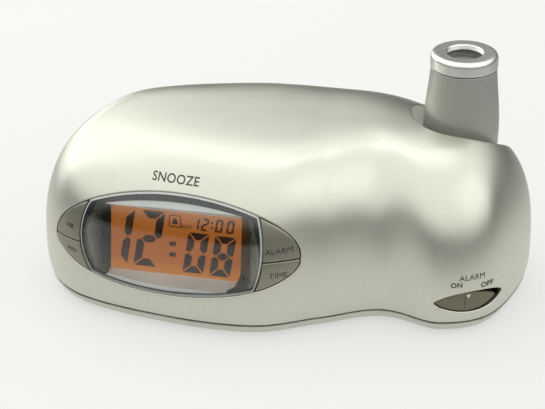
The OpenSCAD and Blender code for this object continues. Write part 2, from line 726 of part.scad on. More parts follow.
module side_shape(left) difference() {
  offset(delta = -button_gap) window_shape();
  offset(delta = button_gap) lens_shape();
  translate([left ? window_x - middle_half : window_x + middle_half - reach, 0]) square(reach);
}
module half_plane(cut, turn, top) translate(cut) rotate(turn)
  translate([-reach/2, top ? cut_gap/2 : -reach - cut_gap/2]) square(reach);
module button_shape(left, top) intersection() {
  side_shape(left);
  if (left) half_plane(left_cut, left_cut_turn, top);
  else half_plane(right_cut, right_cut_turn, top);
}

// Tact switches on the board: place in the display frame for each button
tact_board_w = 4.4;
tact_board_h = 2;
tact_stick = 0.8;
hour_tact = [-35*stretch.x, 3];
minute_tact = [-34.2*stretch.x, -5.9];
alarm_tact = [34.8*stretch.x, 5.5];
time_tact = [34.6*stretch.x, -4.9];
tacts = [hour_tact, minute_tact, alarm_tact, time_tact];

module button_switches() color("#2b2b2b") on_display() for (p = tacts)
  translate([p.x, p.y, board_z]) difference() {
    translate([-tact_board_w/2, -tact_board_w/2, 0]) cube([tact_board_w, tact_board_w, tact_board_h]);
    translate([0, 0, 0.5]) cylinder(d = plunger_d + 0.3, h = 3);
  }

plunger_in = 0.9;
module plunger(p) color("#d8c68e") on_display()
  translate([p.x, p.y, board_z + tact_board_h - plunger_in])
    cylinder(d = plunger_d, h = plunger_in + tact_stick);
module hour_plunger() plunger(hour_tact);
module minute_plunger() plunger(minute_tact);
module alarm_plunger() plunger(alarm_tact);
module time_plunger() plunger(time_tact);

stem_d = 2.6;
module button(left, top, p) color("#8f8c7c") {
  t0 = left ? 1.5 : 3.75;
  cols = left ? 4 : 5;
  intersection() {
    front_skin(0, 16, t0, cols);
    union() {
      difference() {
        along_y(cut_front, cut_back) button_shape(left, top);
        front_skin(button_t, 16, t0, cols);
      }
      // Stem that reaches back to the plunger
      on_display() translate([p.x, p.y, board_z + tact_board_h + tact_stick])
        cylinder(d = stem_d, h = 20);
    }
  }
}
module hour_button() button(true, true, hour_tact);
module minute_button() button(true, false, minute_tact);
module alarm_button() button(false, true, alarm_tact);
module time_button() button(false, false, time_tact);

// ---- Alarm switch ----
slot_gap = 0.25;
knob_off = 0.4;
knob_t = 2.2;
knob_stem_z = -2.6;
fork_len = 5.1;
fork_w = 4.8;
fork_h = 3.6;
nub_w = 2;
switch_body = [9, 4.6, 3.6];
module knob_shape() intersection() {
  offset(delta = -slot_gap) slot_shape();
  translate([-slider_travel, 0]) offset(delta = -slot_gap) slot_shape();
}
module slot_skin(off, depth) skin_block(6.25, 8.75, 10, 5, 20, 5, off, -depth*slot_out);

module alarm_slider() color("#8f8c7c") {
  intersection() {
    difference() {
      slot_skin(knob_off, 8);
      slot_skin(knob_off + knob_t, 12);
    }
    on_slot() translate([0, 0, -reach/2]) linear_extrude(reach) knob_shape();
  }
  // Fork that holds the nub of the switch
  on_slot() translate([-slider_travel/2, 0, knob_stem_z]) difference() {
    translate([-fork_w/2, -fork_h/2, 0]) cube([fork_w, fork_h, fork_len]);
    translate([-nub_w/2 - 0.05, -3, -1]) cube([nub_w + 0.1, 6, 1 + 1.6]);
  }
}
module switch_nub() color("#1e1e1e") on_slot()
  translate([-slider_travel/2, 0, switch_board_z + switch_body.z - 0.6]) {
    translate([-nub_w/2, -0.9, 0]) cube([nub_w, 1.8, knob_stem_z + 1.5 - switch_board_z - switch_body.z + 0.6]);
  }
module alarm_switch() color("#8b8b88") on_slot() translate([0, 0, switch_board_z]) difference() {
  translate([-switch_body.x/2, -switch_body.y/2, 0]) cube(switch_body);
  translate([-slider_travel/2 - nub_w/2 - 0.1, -1, switch_body.z - 0.8])
    cube([slider_travel + nub_w + 0.2, 2, 2]);
}
module switch_board() color("#2f6b3c") on_slot() translate([0, 0, switch_board_z - board_t]) difference() {
  plate(2*switch_post_x + switch_post_d, 9, board_t, 2);
  for (s = [-1, 1]) translate([s*switch_post_x, 0, -1]) cylinder(d = clear_d, h = 4);
}
module switch_screws() color("#8f8f8a") on_slot() for (s = [-1, 1])
  translate([s*switch_post_x, 0, switch_board_z - board_t]) rotate([180, 0, 0]) screw(1.7, 6, 3.6, 1.4);

// ---- Projector ----
// Frame of the projector arm: on the tilt axis, Z up the tube
module on_arm() translate([well_at.x, well_at.y, pivot_z]) children();
cradle_fit = 0.15;
ear_in = 13.3;
ear_t = 2.9;
ear_w = 10;
pin_clear = 0.06;
pin_root = 9;
ball_r = tube_r - 0.3;
knuckle_top = 2.4;
// Wire hole down the middle of the knuckle: its radius, and how far it starts below the axis
wire_hole_r = 5;
wire_hole_low = 6;
tube_bore_r = 9.4;
neck_r = 9.3;
neck_h = 3;
cell_r = 8;
cell_clear = 0.1;

module projector_cradle() color("#6f756e") translate([well_at.x, well_at.y, 0]) difference() {
  union() {
    translate([0, 0, well_floor - cradle_t - 2]) cylinder(r = well_r - cradle_fit, h = cradle_t + 2, $fn = 72);
    // Ears for the tilt pins, trimmed to the round of the well
    intersection() {
      cylinder(r = well_r - cradle_fit, h = reach, $fn = 72);
      for (s = [-1, 1]) translate([s*(ear_in + ear_t/2) - ear_t/2, 0, 0]) {
        translate([0, -ear_w/2, well_floor - 1]) cube([ear_t, ear_w, pivot_z - well_floor + 1]);
        translate([0, 0, pivot_z]) rotate([0, 90, 0]) cylinder(d = ear_w, h = ear_t);
      }
    }
    for (c = cradle_screws_at) rotate(c[1]) translate([c[0], 0, well_floor - cradle_t - 2]) {
      cylinder(d = 5.2, h = 2);
      translate([-6, -2.6, 0]) cube([6, 5.2, 2]);
    }
  }
  translate([-reach/2, 0, pivot_z]) rotate([0, 90, 0]) cylinder(r = pin_d/2 + pin_clear, h = reach);
  for (c = cradle_screws_at) rotate(c[1]) translate([c[0], 0, 0]) cylinder(d = clear_d + 0.1, h = reach);
}
module cradle_screws() color("#8f8f8a") translate([well_at.x, well_at.y, 0]) for (c = cradle_screws_at)
  rotate(c[1]) translate([c[0], 0, well_floor - cradle_t - 2]) rotate([180, 0, 0]) screw(1.9, 7, 4, 1.6);

module tilt_pins() color("#8c8c88") on_arm() for (s = [-1, 1]) rotate([0, s*90, 0])
  translate([0, 0, pin_root]) cylinder(d = pin_d, h = ear_in + ear_t - 0.2 - pin_root);

// Lower end of the arm: a round knuckle with sockets for the pins
module projector_knuckle() color("#8f948c") on_arm() difference() {
  rotate_extrude($fn = 72) difference() {
    union() {
      intersection() {
        circle(r = ball_r, $fn = 96);
        translate([0, -ball_r]) square([ball_r, ball_r + knuckle_top]);
      }
      square([tube_bore_r - 0.1, knuckle_top + 3]);
    }
    translate([-reach, -reach/2]) square(reach);
    translate([-1, -wire_hole_low]) square([1 + wire_hole_r, reach]);
  }
  for (s = [-1, 1]) rotate([0, s*90, 0]) translate([0, 0, pin_root]) cylinder(d = pin_d, h = 10);
}

// Barrel of the tube: radius at a height above the tilt axis
barrel = [[knuckle_top + 0.05, ball_r], [6, tube_r - 0.08], [13, tube_r], [18, tube_r - 0.25],
  [23, tube_r - 0.72], [28, tube_r - 1.25], [tube_h - 0.4, tube_top_r], [tube_h, tube_top_r - 0.4]];
module projector_tube() color("#9a9f97") on_arm() rotate_extrude($fn = 72) polygon(concat(
  [[tube_bore_r, knuckle_top + 0.05]],
  [for (b = barrel) [b[1], b[0]]],
  [[neck_r, tube_h], [neck_r, tube_h + neck_h], [cell_r + cell_clear, tube_h + neck_h],
   [cell_r + cell_clear, 18.5], [tube_bore_r, 18.5]]));

led_z = 5.6;
module led_board() color("#e6e6e0") on_arm() translate([0, 0, led_z]) difference() {
  cylinder(r = tube_bore_r - 0.1, h = board_t);
  for (s = [-1, 1]) translate([s*6.5, 0, -1]) cylinder(d = 1, h = 4);
}
module projection_led() color("#d8483a") on_arm() translate([0, 0, led_z + board_t]) {
  cylinder(d = 5.8, h = 1);
  cylinder(d = 5, h = 4);
  translate([0, 0, 4]) sphere(d = 5);
}
// Dome lens on a flat flange: flange radius and thickness, dome's foot radius, sphere and its centre's depth
module dome_lens(flange_r, flange_t, dome_r, sphere_r, depth) rotate_extrude($fn = 64) {
  square([flange_r, flange_t]);
  intersection() {
    translate([0, -depth]) circle(r = sphere_r, $fn = 96);
    translate([0, flange_t - eps]) square([dome_r, sphere_r]);
  }
}
condenser_z = 14.4;
condenser_dome_r = 7.8;
condenser_sphere_r = 12.2;
module condenser_lens() color([0.85, 0.9, 0.92, 0.4]) on_arm() translate([0, 0, condenser_z])
  dome_lens(tube_bore_r - 0.1, 1.4, condenser_dome_r, condenser_sphere_r, 9);
// Tunnel that carries the film: its height, its square opening, and the film in its seat
tunnel_z = 18.6;
tunnel_h = 3;
tunnel_open = 8.8;
film_w = 10.2;
film_t = 1;
film_z = tunnel_z + 1;
module centred(w, h) translate([-w/2, -w/2, 0]) cube([w, w, h]);
module light_tunnel() color("#1c1c1c") on_arm() translate([0, 0, tunnel_z]) difference() {
  cylinder(r = cell_r, h = tunnel_h);
  translate([0, 0, -1]) centred(tunnel_open, tunnel_h + 2);
  translate([0, 0, film_z - tunnel_z]) centred(film_w + 0.2, film_t + 0.1);
}
module projection_film() color("#2a2f55") on_arm() translate([0, 0, film_z + 0.05]) centred(film_w, film_t);

lens_cell_z = 22;
lens_cell_h = tube_h + neck_h - focus_travel - 0.3 - lens_cell_z;
// Bore of the cell, its stray light grooves, and the lens in its seat
cell_bore_r = 5;
groove_pitch = 1.5;
lens_r = 6;
lens_seat = 3.4;
lens_dome_r = 5.5;
lens_sphere_r = 12;
module lens_cell() color("#161616") on_arm() translate([0, 0, lens_cell_z]) difference() {
  cylinder(r = cell_r, h = lens_cell_h);
  translate([0, 0, -1]) cylinder(r = cell_bore_r, h = reach);
  translate([0, 0, lens_cell_h - lens_seat]) cylinder(r = lens_r + 0.1, h = reach);
  for (i = [0:3]) translate([0, 0, 1.4 + i*groove_pitch]) cylinder(r = cell_bore_r + 0.5, h = 0.8);
}
module projection_lens() color([0.7, 0.8, 0.85, 0.5]) on_arm()
  translate([0, 0, lens_cell_z + lens_cell_h - lens_seat])
    dome_lens(lens_r, 1.2, lens_dome_r, lens_sphere_r, 9.2);

ring_gap = 0.4;
ring_hole_r = 6;
module focus_ring() color("#b4b8b0") on_arm() translate([0, 0, tube_h + ring_gap]) rotate_extrude($fn = 72) polygon([
  [neck_r + 0.08, 0], [ring_r - 0.3, 0], [ring_r, 0.3], [ring_r, ring_h - 0.9],
  [ring_r - 0.25, ring_h - 0.3], [ring_r - 0.9, ring_h], [ring_hole_r + 1.2, ring_h],
  [ring_hole_r, ring_h - 0.9], [ring_hole_r, neck_h - ring_gap + 0.15],
  [neck_r + 0.08, neck_h - ring_gap + 0.15]
]);

base();
rubber_feet();
battery_door();
cell_front();
cell_rear();
contact_plates();
contact_springs();
buzzer();
snooze_switch();
snooze_plunger();
return_springs();
shoulder_screws();
upper_case();
display_frame();
window_lens();
display_glass();
backlight_panel();
contact_strips();
main_board();
board_screws();
clock_chip();
button_switches();
hour_button();
minute_button();
alarm_button();
time_button();
hour_plunger();
minute_plunger();
alarm_plunger();
time_plunger();
alarm_slider();
switch_nub();
alarm_switch();
switch_board();
switch_screws();
projector_cradle();
cradle_screws();
tilt_pins();
projector_knuckle();
projector_tube();
led_board();
projection_led();
condenser_lens();
projection_film();
light_tunnel();
lens_cell();
projection_lens();
focus_ring();
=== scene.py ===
import math

import bpy
import bmesh
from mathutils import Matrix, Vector, geometry


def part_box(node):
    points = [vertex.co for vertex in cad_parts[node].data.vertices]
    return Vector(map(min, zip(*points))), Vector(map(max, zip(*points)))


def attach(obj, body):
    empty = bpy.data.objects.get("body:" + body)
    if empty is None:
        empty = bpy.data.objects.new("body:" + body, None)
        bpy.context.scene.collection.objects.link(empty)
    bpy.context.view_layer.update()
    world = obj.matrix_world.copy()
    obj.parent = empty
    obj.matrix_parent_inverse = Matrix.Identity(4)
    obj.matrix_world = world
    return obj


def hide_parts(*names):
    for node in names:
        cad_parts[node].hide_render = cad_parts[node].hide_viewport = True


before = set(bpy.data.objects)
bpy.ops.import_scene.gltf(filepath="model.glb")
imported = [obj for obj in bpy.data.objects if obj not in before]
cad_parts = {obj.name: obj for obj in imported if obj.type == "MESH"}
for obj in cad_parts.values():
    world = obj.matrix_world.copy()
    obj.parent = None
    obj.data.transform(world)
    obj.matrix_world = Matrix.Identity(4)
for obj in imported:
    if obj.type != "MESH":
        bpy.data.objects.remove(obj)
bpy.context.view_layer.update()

# ---- Upper case ----
# One thin ABS moulding, sprayed with satin silver paint: a large and a small lobe that flow into
# each other, a dished facet on the crown, and a well in the small lobe for the projector. It sits on
# four return springs over the base and goes down as a whole when it is pressed.
MM = 0.001

# Outline at its widest, seen from above, anticlockwise from the left end (mm)
outline_marks = [
    (-77.5, 3), (-81.5, -19.5), (-66.5, -38), (-34, -46), (-3.5, -46), (17, -36), (35.5, -26.5),
    (55, -30.5), (72, -19.5), (79.5, 12), (70, 31.5), (44.5, 47), (13.5, 45), (-23, 41.5), (-60.5, 26),
]
spans = len(outline_marks)
front_spans = 9
case_low, case_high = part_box("upper_case")
case_width, case_depth = (case_high.x - case_low.x) / MM, (case_high.y - case_low.y) / MM
case_floor = case_low.z / MM
case_wall = 2.0
widest_at = 14.0
left_lift = 3.5
tuck = 4.8
tuck_power = 3.3
fullness = {"left": 2.42, "right": 2.57, "front": 2.32, "back": 2.6}
spine_share, spine_y = 0.62, 5.8
big_crown, small_crown = 60.5, 57.9
lobe_split, lobe_blend, lobe_middle = 34.3, 7.7, -8.0
crown_fall, crown_rise = 0.1, 3.85
facet_height, facet_slope, facet_back = 59.2, 0.07, 3.0
ridge_blend = 2.5


def outline_raw(t):
    """Smooth closed curve through the outline's marks."""
    i = math.floor(t)
    f = t - i
    a, b, c, d = (outline_marks[(i + k) % spans] for k in (-1, 0, 1, 2))
    return tuple(
        0.5 * (2 * b[k] + (c[k] - a[k]) * f + (2 * a[k] - 5 * b[k] + 4 * c[k] - d[k]) * f * f
               + (3 * b[k] - a[k] - 3 * c[k] + d[k]) * f ** 3)
        for k in (0, 1)
    )


fine = [outline_raw(i / 24) for i in range(spans * 24)]
outline_middle = [(max(p[k] for p in fine) + min(p[k] for p in fine)) / 2 for k in (0, 1)]
stretch = [case_width / (max(p[0] for p in fine) - min(p[0] for p in fine)),
           case_depth / (max(p[1] for p in fine) - min(p[1] for p in fine))]


def outline(t):
    """Point of the widest outline, with the middle of its box on the origin."""
    x, y = outline_raw(t)
    return (x - outline_middle[0]) * stretch[0], (y - outline_middle[1]) * stretch[1]


def across(t):
    """Place on the outline that lies straight across the case from t."""
    t %= spans
    if t <= front_spans:
        return spans - (spans - front_spans) * t / front_spans
    return front_spans * (spans - t) / (spans - front_spans)


def facing(t):
    """Way that the outline faces at t."""
    ax, ay = outline_raw(t - 0.001)
    bx, by = outline_raw(t + 0.001)
    length = math.hypot(bx - ax, by - ay)
    return (by - ay) / length, (ax - bx) / length


def spine(t):
    """Point on the ridge line that the shoulder rises to."""
    return spine_share * (outline(t)[0] + outline(across(t))[0]) / 2, spine_y


def widest(nx):
    """Height of the widest line, which rises where the case faces left."""
    return widest_at + (left_lift * nx * nx if nx < 0 else 0)


def low_skin(t, z, inset):
    """Point of the wall below the widest line, at a height."""
    nx, ny = facing(t)
    px, py = outline(t)
    step = inset + tuck * ((widest(nx) - z) / widest(nx)) ** tuck_power
    return px - nx * step, py - ny * step, z


def skin(t, h, inset=0.0):
    """Point of the skin: t runs round it, h from -1 at the rim over 0 at the widest line to 1 on top."""
    if h > 1:
        t, h = across(t), 2 - h
    nx, ny = facing(t)
    px, py = outline(t)
    low = widest(nx)
    if h < 0:
        return low_skin(t, low + h * (low - case_floor), inset)
    full = (nx * nx * fullness["left" if nx < 0 else "right"]
            + ny * ny * fullness["front" if ny < 0 else "back"])
    sx, sy = spine(t)
    reach = max(0.0, math.cos(h * math.pi / 2)) ** (2 / full)
    x = sx + (px - inset * nx - sx) * reach
    y = sy + (py - inset * ny - sy) * reach
    small = 1 / (1 + math.exp(-(x - lobe_split) / lobe_blend))
    big = big_crown - crown_fall * ((x - lobe_middle) / 40) ** 2 + crown_rise * (y / 30) ** 2
    crown = big * (1 - small) + small_crown * small
    z = low + (crown - inset - low) * math.sin(h * math.pi / 2) ** (2 / full)
    facet = facet_height + facet_slope * (y - facet_back) - inset
    mix = min(1.0, max(0.0, 0.5 + 0.5 * (facet - z) / ridge_blend))
    return x, y, facet * (1 - mix) + z * mix - ridge_blend * mix * (1 - mix)


def settle(miss, t, h, inset=0.0):
    """Finds t and h at which the skin's point has both of miss(point) at zero."""
    for _ in range(40):
        a = miss(skin(t, h, inset))
        if abs(a[0]) + abs(a[1]) < 1e-5:
            break
        small = 1e-4
        b = miss(skin(t + small, h, inset))
        c = miss(skin(t, h + small, inset))
        tx, ty = (b[0] - a[0]) / small, (b[1] - a[1]) / small
        hx, hy = (c[0] - a[0]) / small, (c[1] - a[1]) / small
        scale = tx * hy - ty * hx
        if abs(scale) < 1e-9:
            break
        dt = (hx * a[1] - hy * a[0]) / scale
        dh = (ty * a[0] - tx * a[1]) / scale
        t += max(-0.4, min(0.4, dt))
        h += max(-0.1, min(0.1, dh))
        if h > 1:
            t, h = across(t), 2 - h
    return t, h


def skin_normal(t, h, inset=0.0):
    """Way that the skin faces."""
    small = 1e-3
    along = Vector(skin(t + small, h, inset)) - Vector(skin(t - small, h, inset))
    up = Vector(skin(t, h + small, inset)) - Vector(skin(t, h - small, inset))
    return along.cross(up).normalized()


class Pane:
    """A flat pane that shapes are drawn on and pushed from, straight onto the skin behind it."""

    def __init__(self, origin, right, up, start):
        self.origin, self.right, self.up = Vector(origin), Vector(right), Vector(up)
        self.inward = self.up.cross(self.right)
        self.start = start

    def spot(self, x, y, inset=0.0, start=None):
        def miss(p):
            q = Vector(p) - self.origin
            return q.dot(self.right) - x, q.dot(self.up) - y

        first = start or self.start
        for t, h in [first] + [(self.start[0] + dt, self.start[1] + dh)
                               for dh in (0, 0.2, 0.4) for dt in (0, -0.7, 0.7, -1.4, 1.4)]:
            found = settle(miss, t, h, inset)
            if max(abs(m) for m in miss(skin(*found, inset))) < 1e-3:
                break
        return found

    def spots(self, marks, inset=0.0, start=None):
        """Places of marks that follow each other, each found from the one before."""
        found = []
        for x, y in marks:
            start = self.spot(x, y, inset, start)
            found.append(start)
        return found

    def point(self, x, y, inset=0.0):
        return Vector(skin(*self.spot(x, y, inset), inset))


def halve(holds, low, high, steps):
    """Value between low and high up to which something holds, found by halving."""
    for _ in range(steps):
        middle = (low + high) / 2
        if holds(middle):
            low = middle
        else:
            high = middle
    return middle


def trace(shape, middle, level, count):
    """Closed outline where shape, a signed distance in mm, equals level, found along rays from the middle."""
    def spot(a, r):
        return middle[0] + r * math.cos(a), middle[1] + r * math.sin(a)

    angles = [2 * math.pi * k / count for k in range(count)]
    return [spot(a, halve(lambda r: shape(*spot(a, r)) < level, 0.0, 80.0, 26)) for a in angles]


def inside(x, y, polygon):
    """True if the point lies inside the closed polygon."""
    found = False
    for i, (ax, ay) in enumerate(polygon):
        bx, by = polygon[i - 1]
        if (ay > y) != (by > y) and x < ax + (y - ay) * (bx - ax) / (by - ay):
            found = not found
    return found


def triangles(points, loops, outer):
    """Delaunay triangles of flat points, kept inside the outer loop and outside the other loops."""
    edges = [(loop[i - 1], loop[i]) for loop in loops for i in range(len(loop))]
    result = geometry.delaunay_2d_cdt([Vector(p) for p in points], edges, [], 0, 1e-7)
    old = [o[0] if o else -1 for o in result[3]]
    home = {i: number for number, loop in enumerate(loops) for i in loop}
    rings = [[points[i] for i in loop] for loop in loops]
    kept = []
    for face in result[2]:
        face = [old[i] for i in face]
        if -1 in face:
            continue
        number = {home.get(i, -1) for i in face}
        if len(number) == 1 and -1 not in number:
            ring = number.pop()
            x, y = (sum(points[i][k] for i in face) / 3 for k in (0, 1))
            if inside(x, y, rings[ring]) != (ring == outer):
                continue
        kept.append(face)
    return kept


def bridge(faces, a, b):
    """Four-sided faces between two rings of as many points."""
    faces += [(a[i - 1], a[i], b[i], b[i - 1]) for i in range(len(a))]


def grow(points, faces, last, ring):
    """Adds a ring of points, joins it to the last one, and gives its numbers."""
    here = list(range(len(points), len(points) + len(ring)))
    points += ring
    bridge(faces, last, here)
    return here


def piece(name, points, faces, material, body, slot, *nodes, sharp=38):
    """Makes a mesh from points in mm, shades it, and puts it on its body in place of its CAD nodes."""
    mesh = bpy.data.meshes.new(name)
    mesh.from_pydata([Vector(p) * MM for p in points], [], faces)
    shell = bmesh.new()
    shell.from_mesh(mesh)
    bmesh.ops.remove_doubles(shell, verts=shell.verts, dist=1e-6)
    bmesh.ops.recalc_face_normals(shell, faces=shell.faces)
    shell.to_mesh(mesh)
    shell.free()
    mesh.shade_smooth()
    mesh.set_sharp_from_angle(angle=math.radians(sharp))
    mesh.materials.append(material)
    made = bpy.data.objects.new(name, mesh)
    bpy.context.scene.collection.objects.link(made)
    weighted = made.modifiers.new("Even shading", "WEIGHTED_NORMAL")
    weighted.keep_sharp = True
    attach(made, body)
    if nodes:
        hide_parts(*nodes)
    return made


def linear(code):
    """Linear colour of an sRGB hex value."""
    parts = [int(code[i:i + 2], 16) / 255 for i in (1, 3, 5)]
    return [c / 12.92 if c <= 0.04045 else ((c + 0.055) / 1.055) ** 2.4 for c in parts] + [1.0]


def new_material(name, **settings):
    """Material with one Principled shader, set by socket name."""
    material = bpy.data.materials.new(name)
    material.use_nodes = True
    shader = material.node_tree.nodes["Principled BSDF"]
    for key, value in settings.items():
        shader.inputs[key.replace("_", " ")].default_value = value
    return material, shader


def add(material, kind, settings=None, links=None):
    """Adds one node: settings are its properties or sockets by name, links are its sockets by name."""
    node = material.node_tree.nodes.new(kind)
    for key, value in (settings or {}).items():
        if isinstance(key, int) or key in node.inputs:
            node.inputs[key].default_value = value
        else:
            setattr(node, key, value)
    for key, source in (links or {}).items():
        material.node_tree.links.new(source, node.inputs[key])
    return node


def ramp(material, source, stops):
    """Colour ramp over a source, from (place, hex colour) stops."""
    node = add(material, "ShaderNodeValToRGB", None, {"Fac": source})
    while len(node.color_ramp.elements) < len(stops):
        node.color_ramp.elements.new(0.5)
    for element, (place, code) in zip(node.color_ramp.elements, stops):
        element.position = place
        element.color = linear(code)
    return node.outputs["Color"]


def own_place(material):
    """The piece's own coordinates, in metres."""
    return add(material, "ShaderNodeTexCoord").outputs["Object"]


def noise(material, place, size_mm, detail=2.0):
    """Soft noise with grains of a size in mm."""
    return add(material, "ShaderNodeTexNoise", {"Scale": 1 / (size_mm * MM), "Detail": detail},
               {"Vector": place}).outputs["Fac"]


def axis(material, place, name):
    """One coordinate of a place."""
    return add(material, "ShaderNodeSeparateXYZ", None, {"Vector": place}).outputs[name]


def calc(material, operation, *values, **settings):
    """One sum over numbers and sockets, in their order."""
    node = add(material, "ShaderNodeMath", {"operation": operation, **settings})
    for i, value in enumerate(values):
        if isinstance(value, float):
            node.inputs[i].default_value = value
        else:
            material.node_tree.links.new(value, node.inputs[i])
    return node.outputs[0]


def span(material, source, low, high, to_low=0.0, to_high=1.0):
    """Takes a source from the range low to high over to another range."""
    settings = {"From Min": low, "From Max": high, "To Min": to_low, "To Max": to_high}
    return add(material, "ShaderNodeMapRange", settings, {"Value": source}).outputs["Result"]


def colour_by(material, shader, source, stops):
    """Lets a source pick the base colour from stops of (place, hex colour)."""
    material.node_tree.links.new(ramp(material, source, stops), shader.inputs["Base Color"])


def roughen(material, shader, source, low, high, start=0.3):
    """Lets a noise vary the roughness from low to high."""
    material.node_tree.links.new(span(material, source, start, 0.7, low, high), shader.inputs["Roughness"])


def emboss(material, shader, source, strength, depth_mm):
    """Lets a source raise and sink the surface finely."""
    bump = add(material, "ShaderNodeBump", {"Strength": strength, "Distance": depth_mm * MM},
               {"Height": source})
    material.node_tree.links.new(bump.outputs["Normal"], shader.inputs["Normal"])


def painted_silver(name, low, high, roughness, flake_mm=0.35, metallic=0.85):
    """Metallic paint: fine aluminium flakes under a satin binder, so it is grey with a soft wide sheen."""
    material, shader = new_material(name, Metallic=metallic, Roughness=roughness)
    place = own_place(material)
    flakes, clouds = noise(material, place, flake_mm), noise(material, place, 25, 3.0)
    mixed = add(material, "ShaderNodeMix", {"data_type": "FLOAT", "Factor": 0.25}, {"A": flakes, "B": clouds})
    colour_by(material, shader, mixed.outputs["Result"], [(0.3, low), (0.7, high)])
    roughen(material, shader, clouds, roughness - 0.03, roughness + 0.03)
    emboss(material, shader, flakes, 0.12, 0.02)
    return material


case_paint = painted_silver("Satin silver paint on ABS", "#C9C9BC", "#D6D6CA", 0.34)

# Openings of the case: the almond window, the switch slot, and the well with its notch to the back
window_x, window_half, window_tip, window_rise = -29.7, 42.0, 26.8, 1.9
window_up, window_down, window_skew = 19.8, 13.2, 0.08
front_pane = Pane((0, 0, 0), (1, 0, 0), (0, 0, 1), (3.2, 0.25))
window_middle = (window_x, 29.0)


def to_distance(level, x, y):
    """Signed distance in mm, true near the outline, from a level that is zero on it."""
    small = 0.01
    here = level(x, y)
    slope = math.hypot(level(x + small, y) - here, level(x, y + small) - here) / small
    return here / max(slope, 1e-3)


def almond(x, z):
    """Signed distance from the window's almond outline."""
    def level(x, z):
        u = (x - window_x) / window_half
        v = z - window_tip - window_rise * u
        if abs(u) >= 1:
            return abs(u) - 1 + abs(v) / window_half
        if v >= 0:
            return math.hypot(u, v / window_up) - 1
        bottom = (1 - u * u) ** (0.5 - window_skew * u)
        return (-v / window_down / bottom - 1) * (1 - u * u) ** 0.5
    return to_distance(level, x, z)


slot_turn = math.radians(36.7)
slot_half, slot_tall = 12.3, 3.7
slot_pane = Pane((63.7, -22.7, 12.7), (math.cos(slot_turn), math.sin(slot_turn), 0), (0, 0, 1), (7.4, -0.1))


def slot_outline(x, y, half=slot_half, tall=slot_tall):
    """Signed distance from the slot's pointed oval."""
    def level(x, y):
        u = min(0.999, abs(x) / half)
        return abs(y) - tall * (1 - u * u) ** 0.7 + 20 * max(0.0, abs(x) - 0.999 * half)
    return to_distance(level, x, y)


well_x, well_y = 54.6, 18.2
well_radius, notch_half = 16.85, 13.5
well_floor, well_bottom = 28.4, 24.2
notch_angle = math.acos(notch_half / well_radius)
well_wall = 1.6
arc_steps, side_steps, sill_steps = 130, 24, 28
edge_radius, edge_steps = 0.5, 4


def edge_profile(radius, steps):
    """Pairs of (distance from the opening, depth) down a rounded edge."""
    return [(radius * (1 - math.sin(a)), radius * (1 - math.cos(a)))
            for a in (math.pi / 2 * k / steps for k in range(steps + 1))]


def pane_rings(shape, middle, pane, count, profile, inset=0.0, sign=1):
    """Rings of (t, h, depth) places on the skin down a rounded edge round a shape on a pane."""
    return [[(place, depth) for place in pane.spots(trace(shape, middle, sign * distance, count), inset)]
            for distance, depth in profile]


def well_rings(profile):
    """The same round the well, whose edge runs over the top and down the back wall."""
    def solve(kind, value, side, out, guess):
        if kind == "arc":
            r = well_radius + out
            x, y = well_x + r * math.cos(value), well_y + r * math.sin(value)
            return settle(lambda p: (p[0] - x, p[1] - y), *guess)
        if kind == "corner":
            y = well_y + math.sqrt((well_radius + out) ** 2 - (notch_half + out) ** 2)
            x = well_x + side * (notch_half + out)
            return settle(lambda p: (p[0] - x, p[1] - y), *guess)
        if kind == "side":
            x = well_x + side * (notch_half + out)
            z = value - out * (value - well_floor < 0.01)
            return settle(lambda p: (p[0] - x, p[2] - z), *guess)
        return settle(lambda p: (p[0] - well_x - value, p[2] - well_floor + out), *guess)

    rings = []
    first = (11.6, 0.5)
    for out, depth in profile:
        first = solve("corner", 0, -1, out, first)
        ring = [("corner", -1, first, depth)]

        def follow(marks):
            """Finds the marks one after the other, each from the place of the one before."""
            guess = ring[-1][2]
            for kind, value, side in marks:
                guess = solve(kind, value, side, out, guess)
                ring.append((kind, side or value, guess, depth))
            return skin(*guess)[2]

        start, end = math.pi - notch_angle, 2 * math.pi + notch_angle
        follow([("arc", start + (end - start) * k / arc_steps, 0) for k in range(1, arc_steps)])
        top = follow([("corner", 0, 1)])
        follow([("side", top + (well_floor - top) * k / side_steps, 1) for k in range(1, side_steps + 1)])
        follow([("sill", notch_half * (1 - 2 * k / sill_steps), 0) for k in range(1, sill_steps)])
        top = skin(*first)[2]
        follow([("side", well_floor + (top - well_floor) * k / side_steps, -1) for k in range(side_steps)])
        rings.append(ring)
    return rings


def flat_place(t, h):
    """Place of a skin point on the flat sheet that the case is triangulated on."""
    sx, sy = spine(t)
    px, py = outline(t)
    out = 1 - h if h >= 0 else 1 - 0.25 * h
    return sx + (px - sx) * out, sy + (py - sy) * out


def even_rows(count):
    """Values of h over the shoulder that lie evenly along it."""
    t = 4.4
    fine = [i / 400 for i in range(401)]
    lengths = [0.0]
    for a, b in zip(fine, fine[1:]):
        lengths.append(lengths[-1] + (Vector(skin(t, b)) - Vector(skin(t, a))).length)
    rows, i = [], 0
    for k in range(1, count):
        while lengths[i] < lengths[-1] * k / count:
            i += 1
        rows.append(fine[i])
    return rows


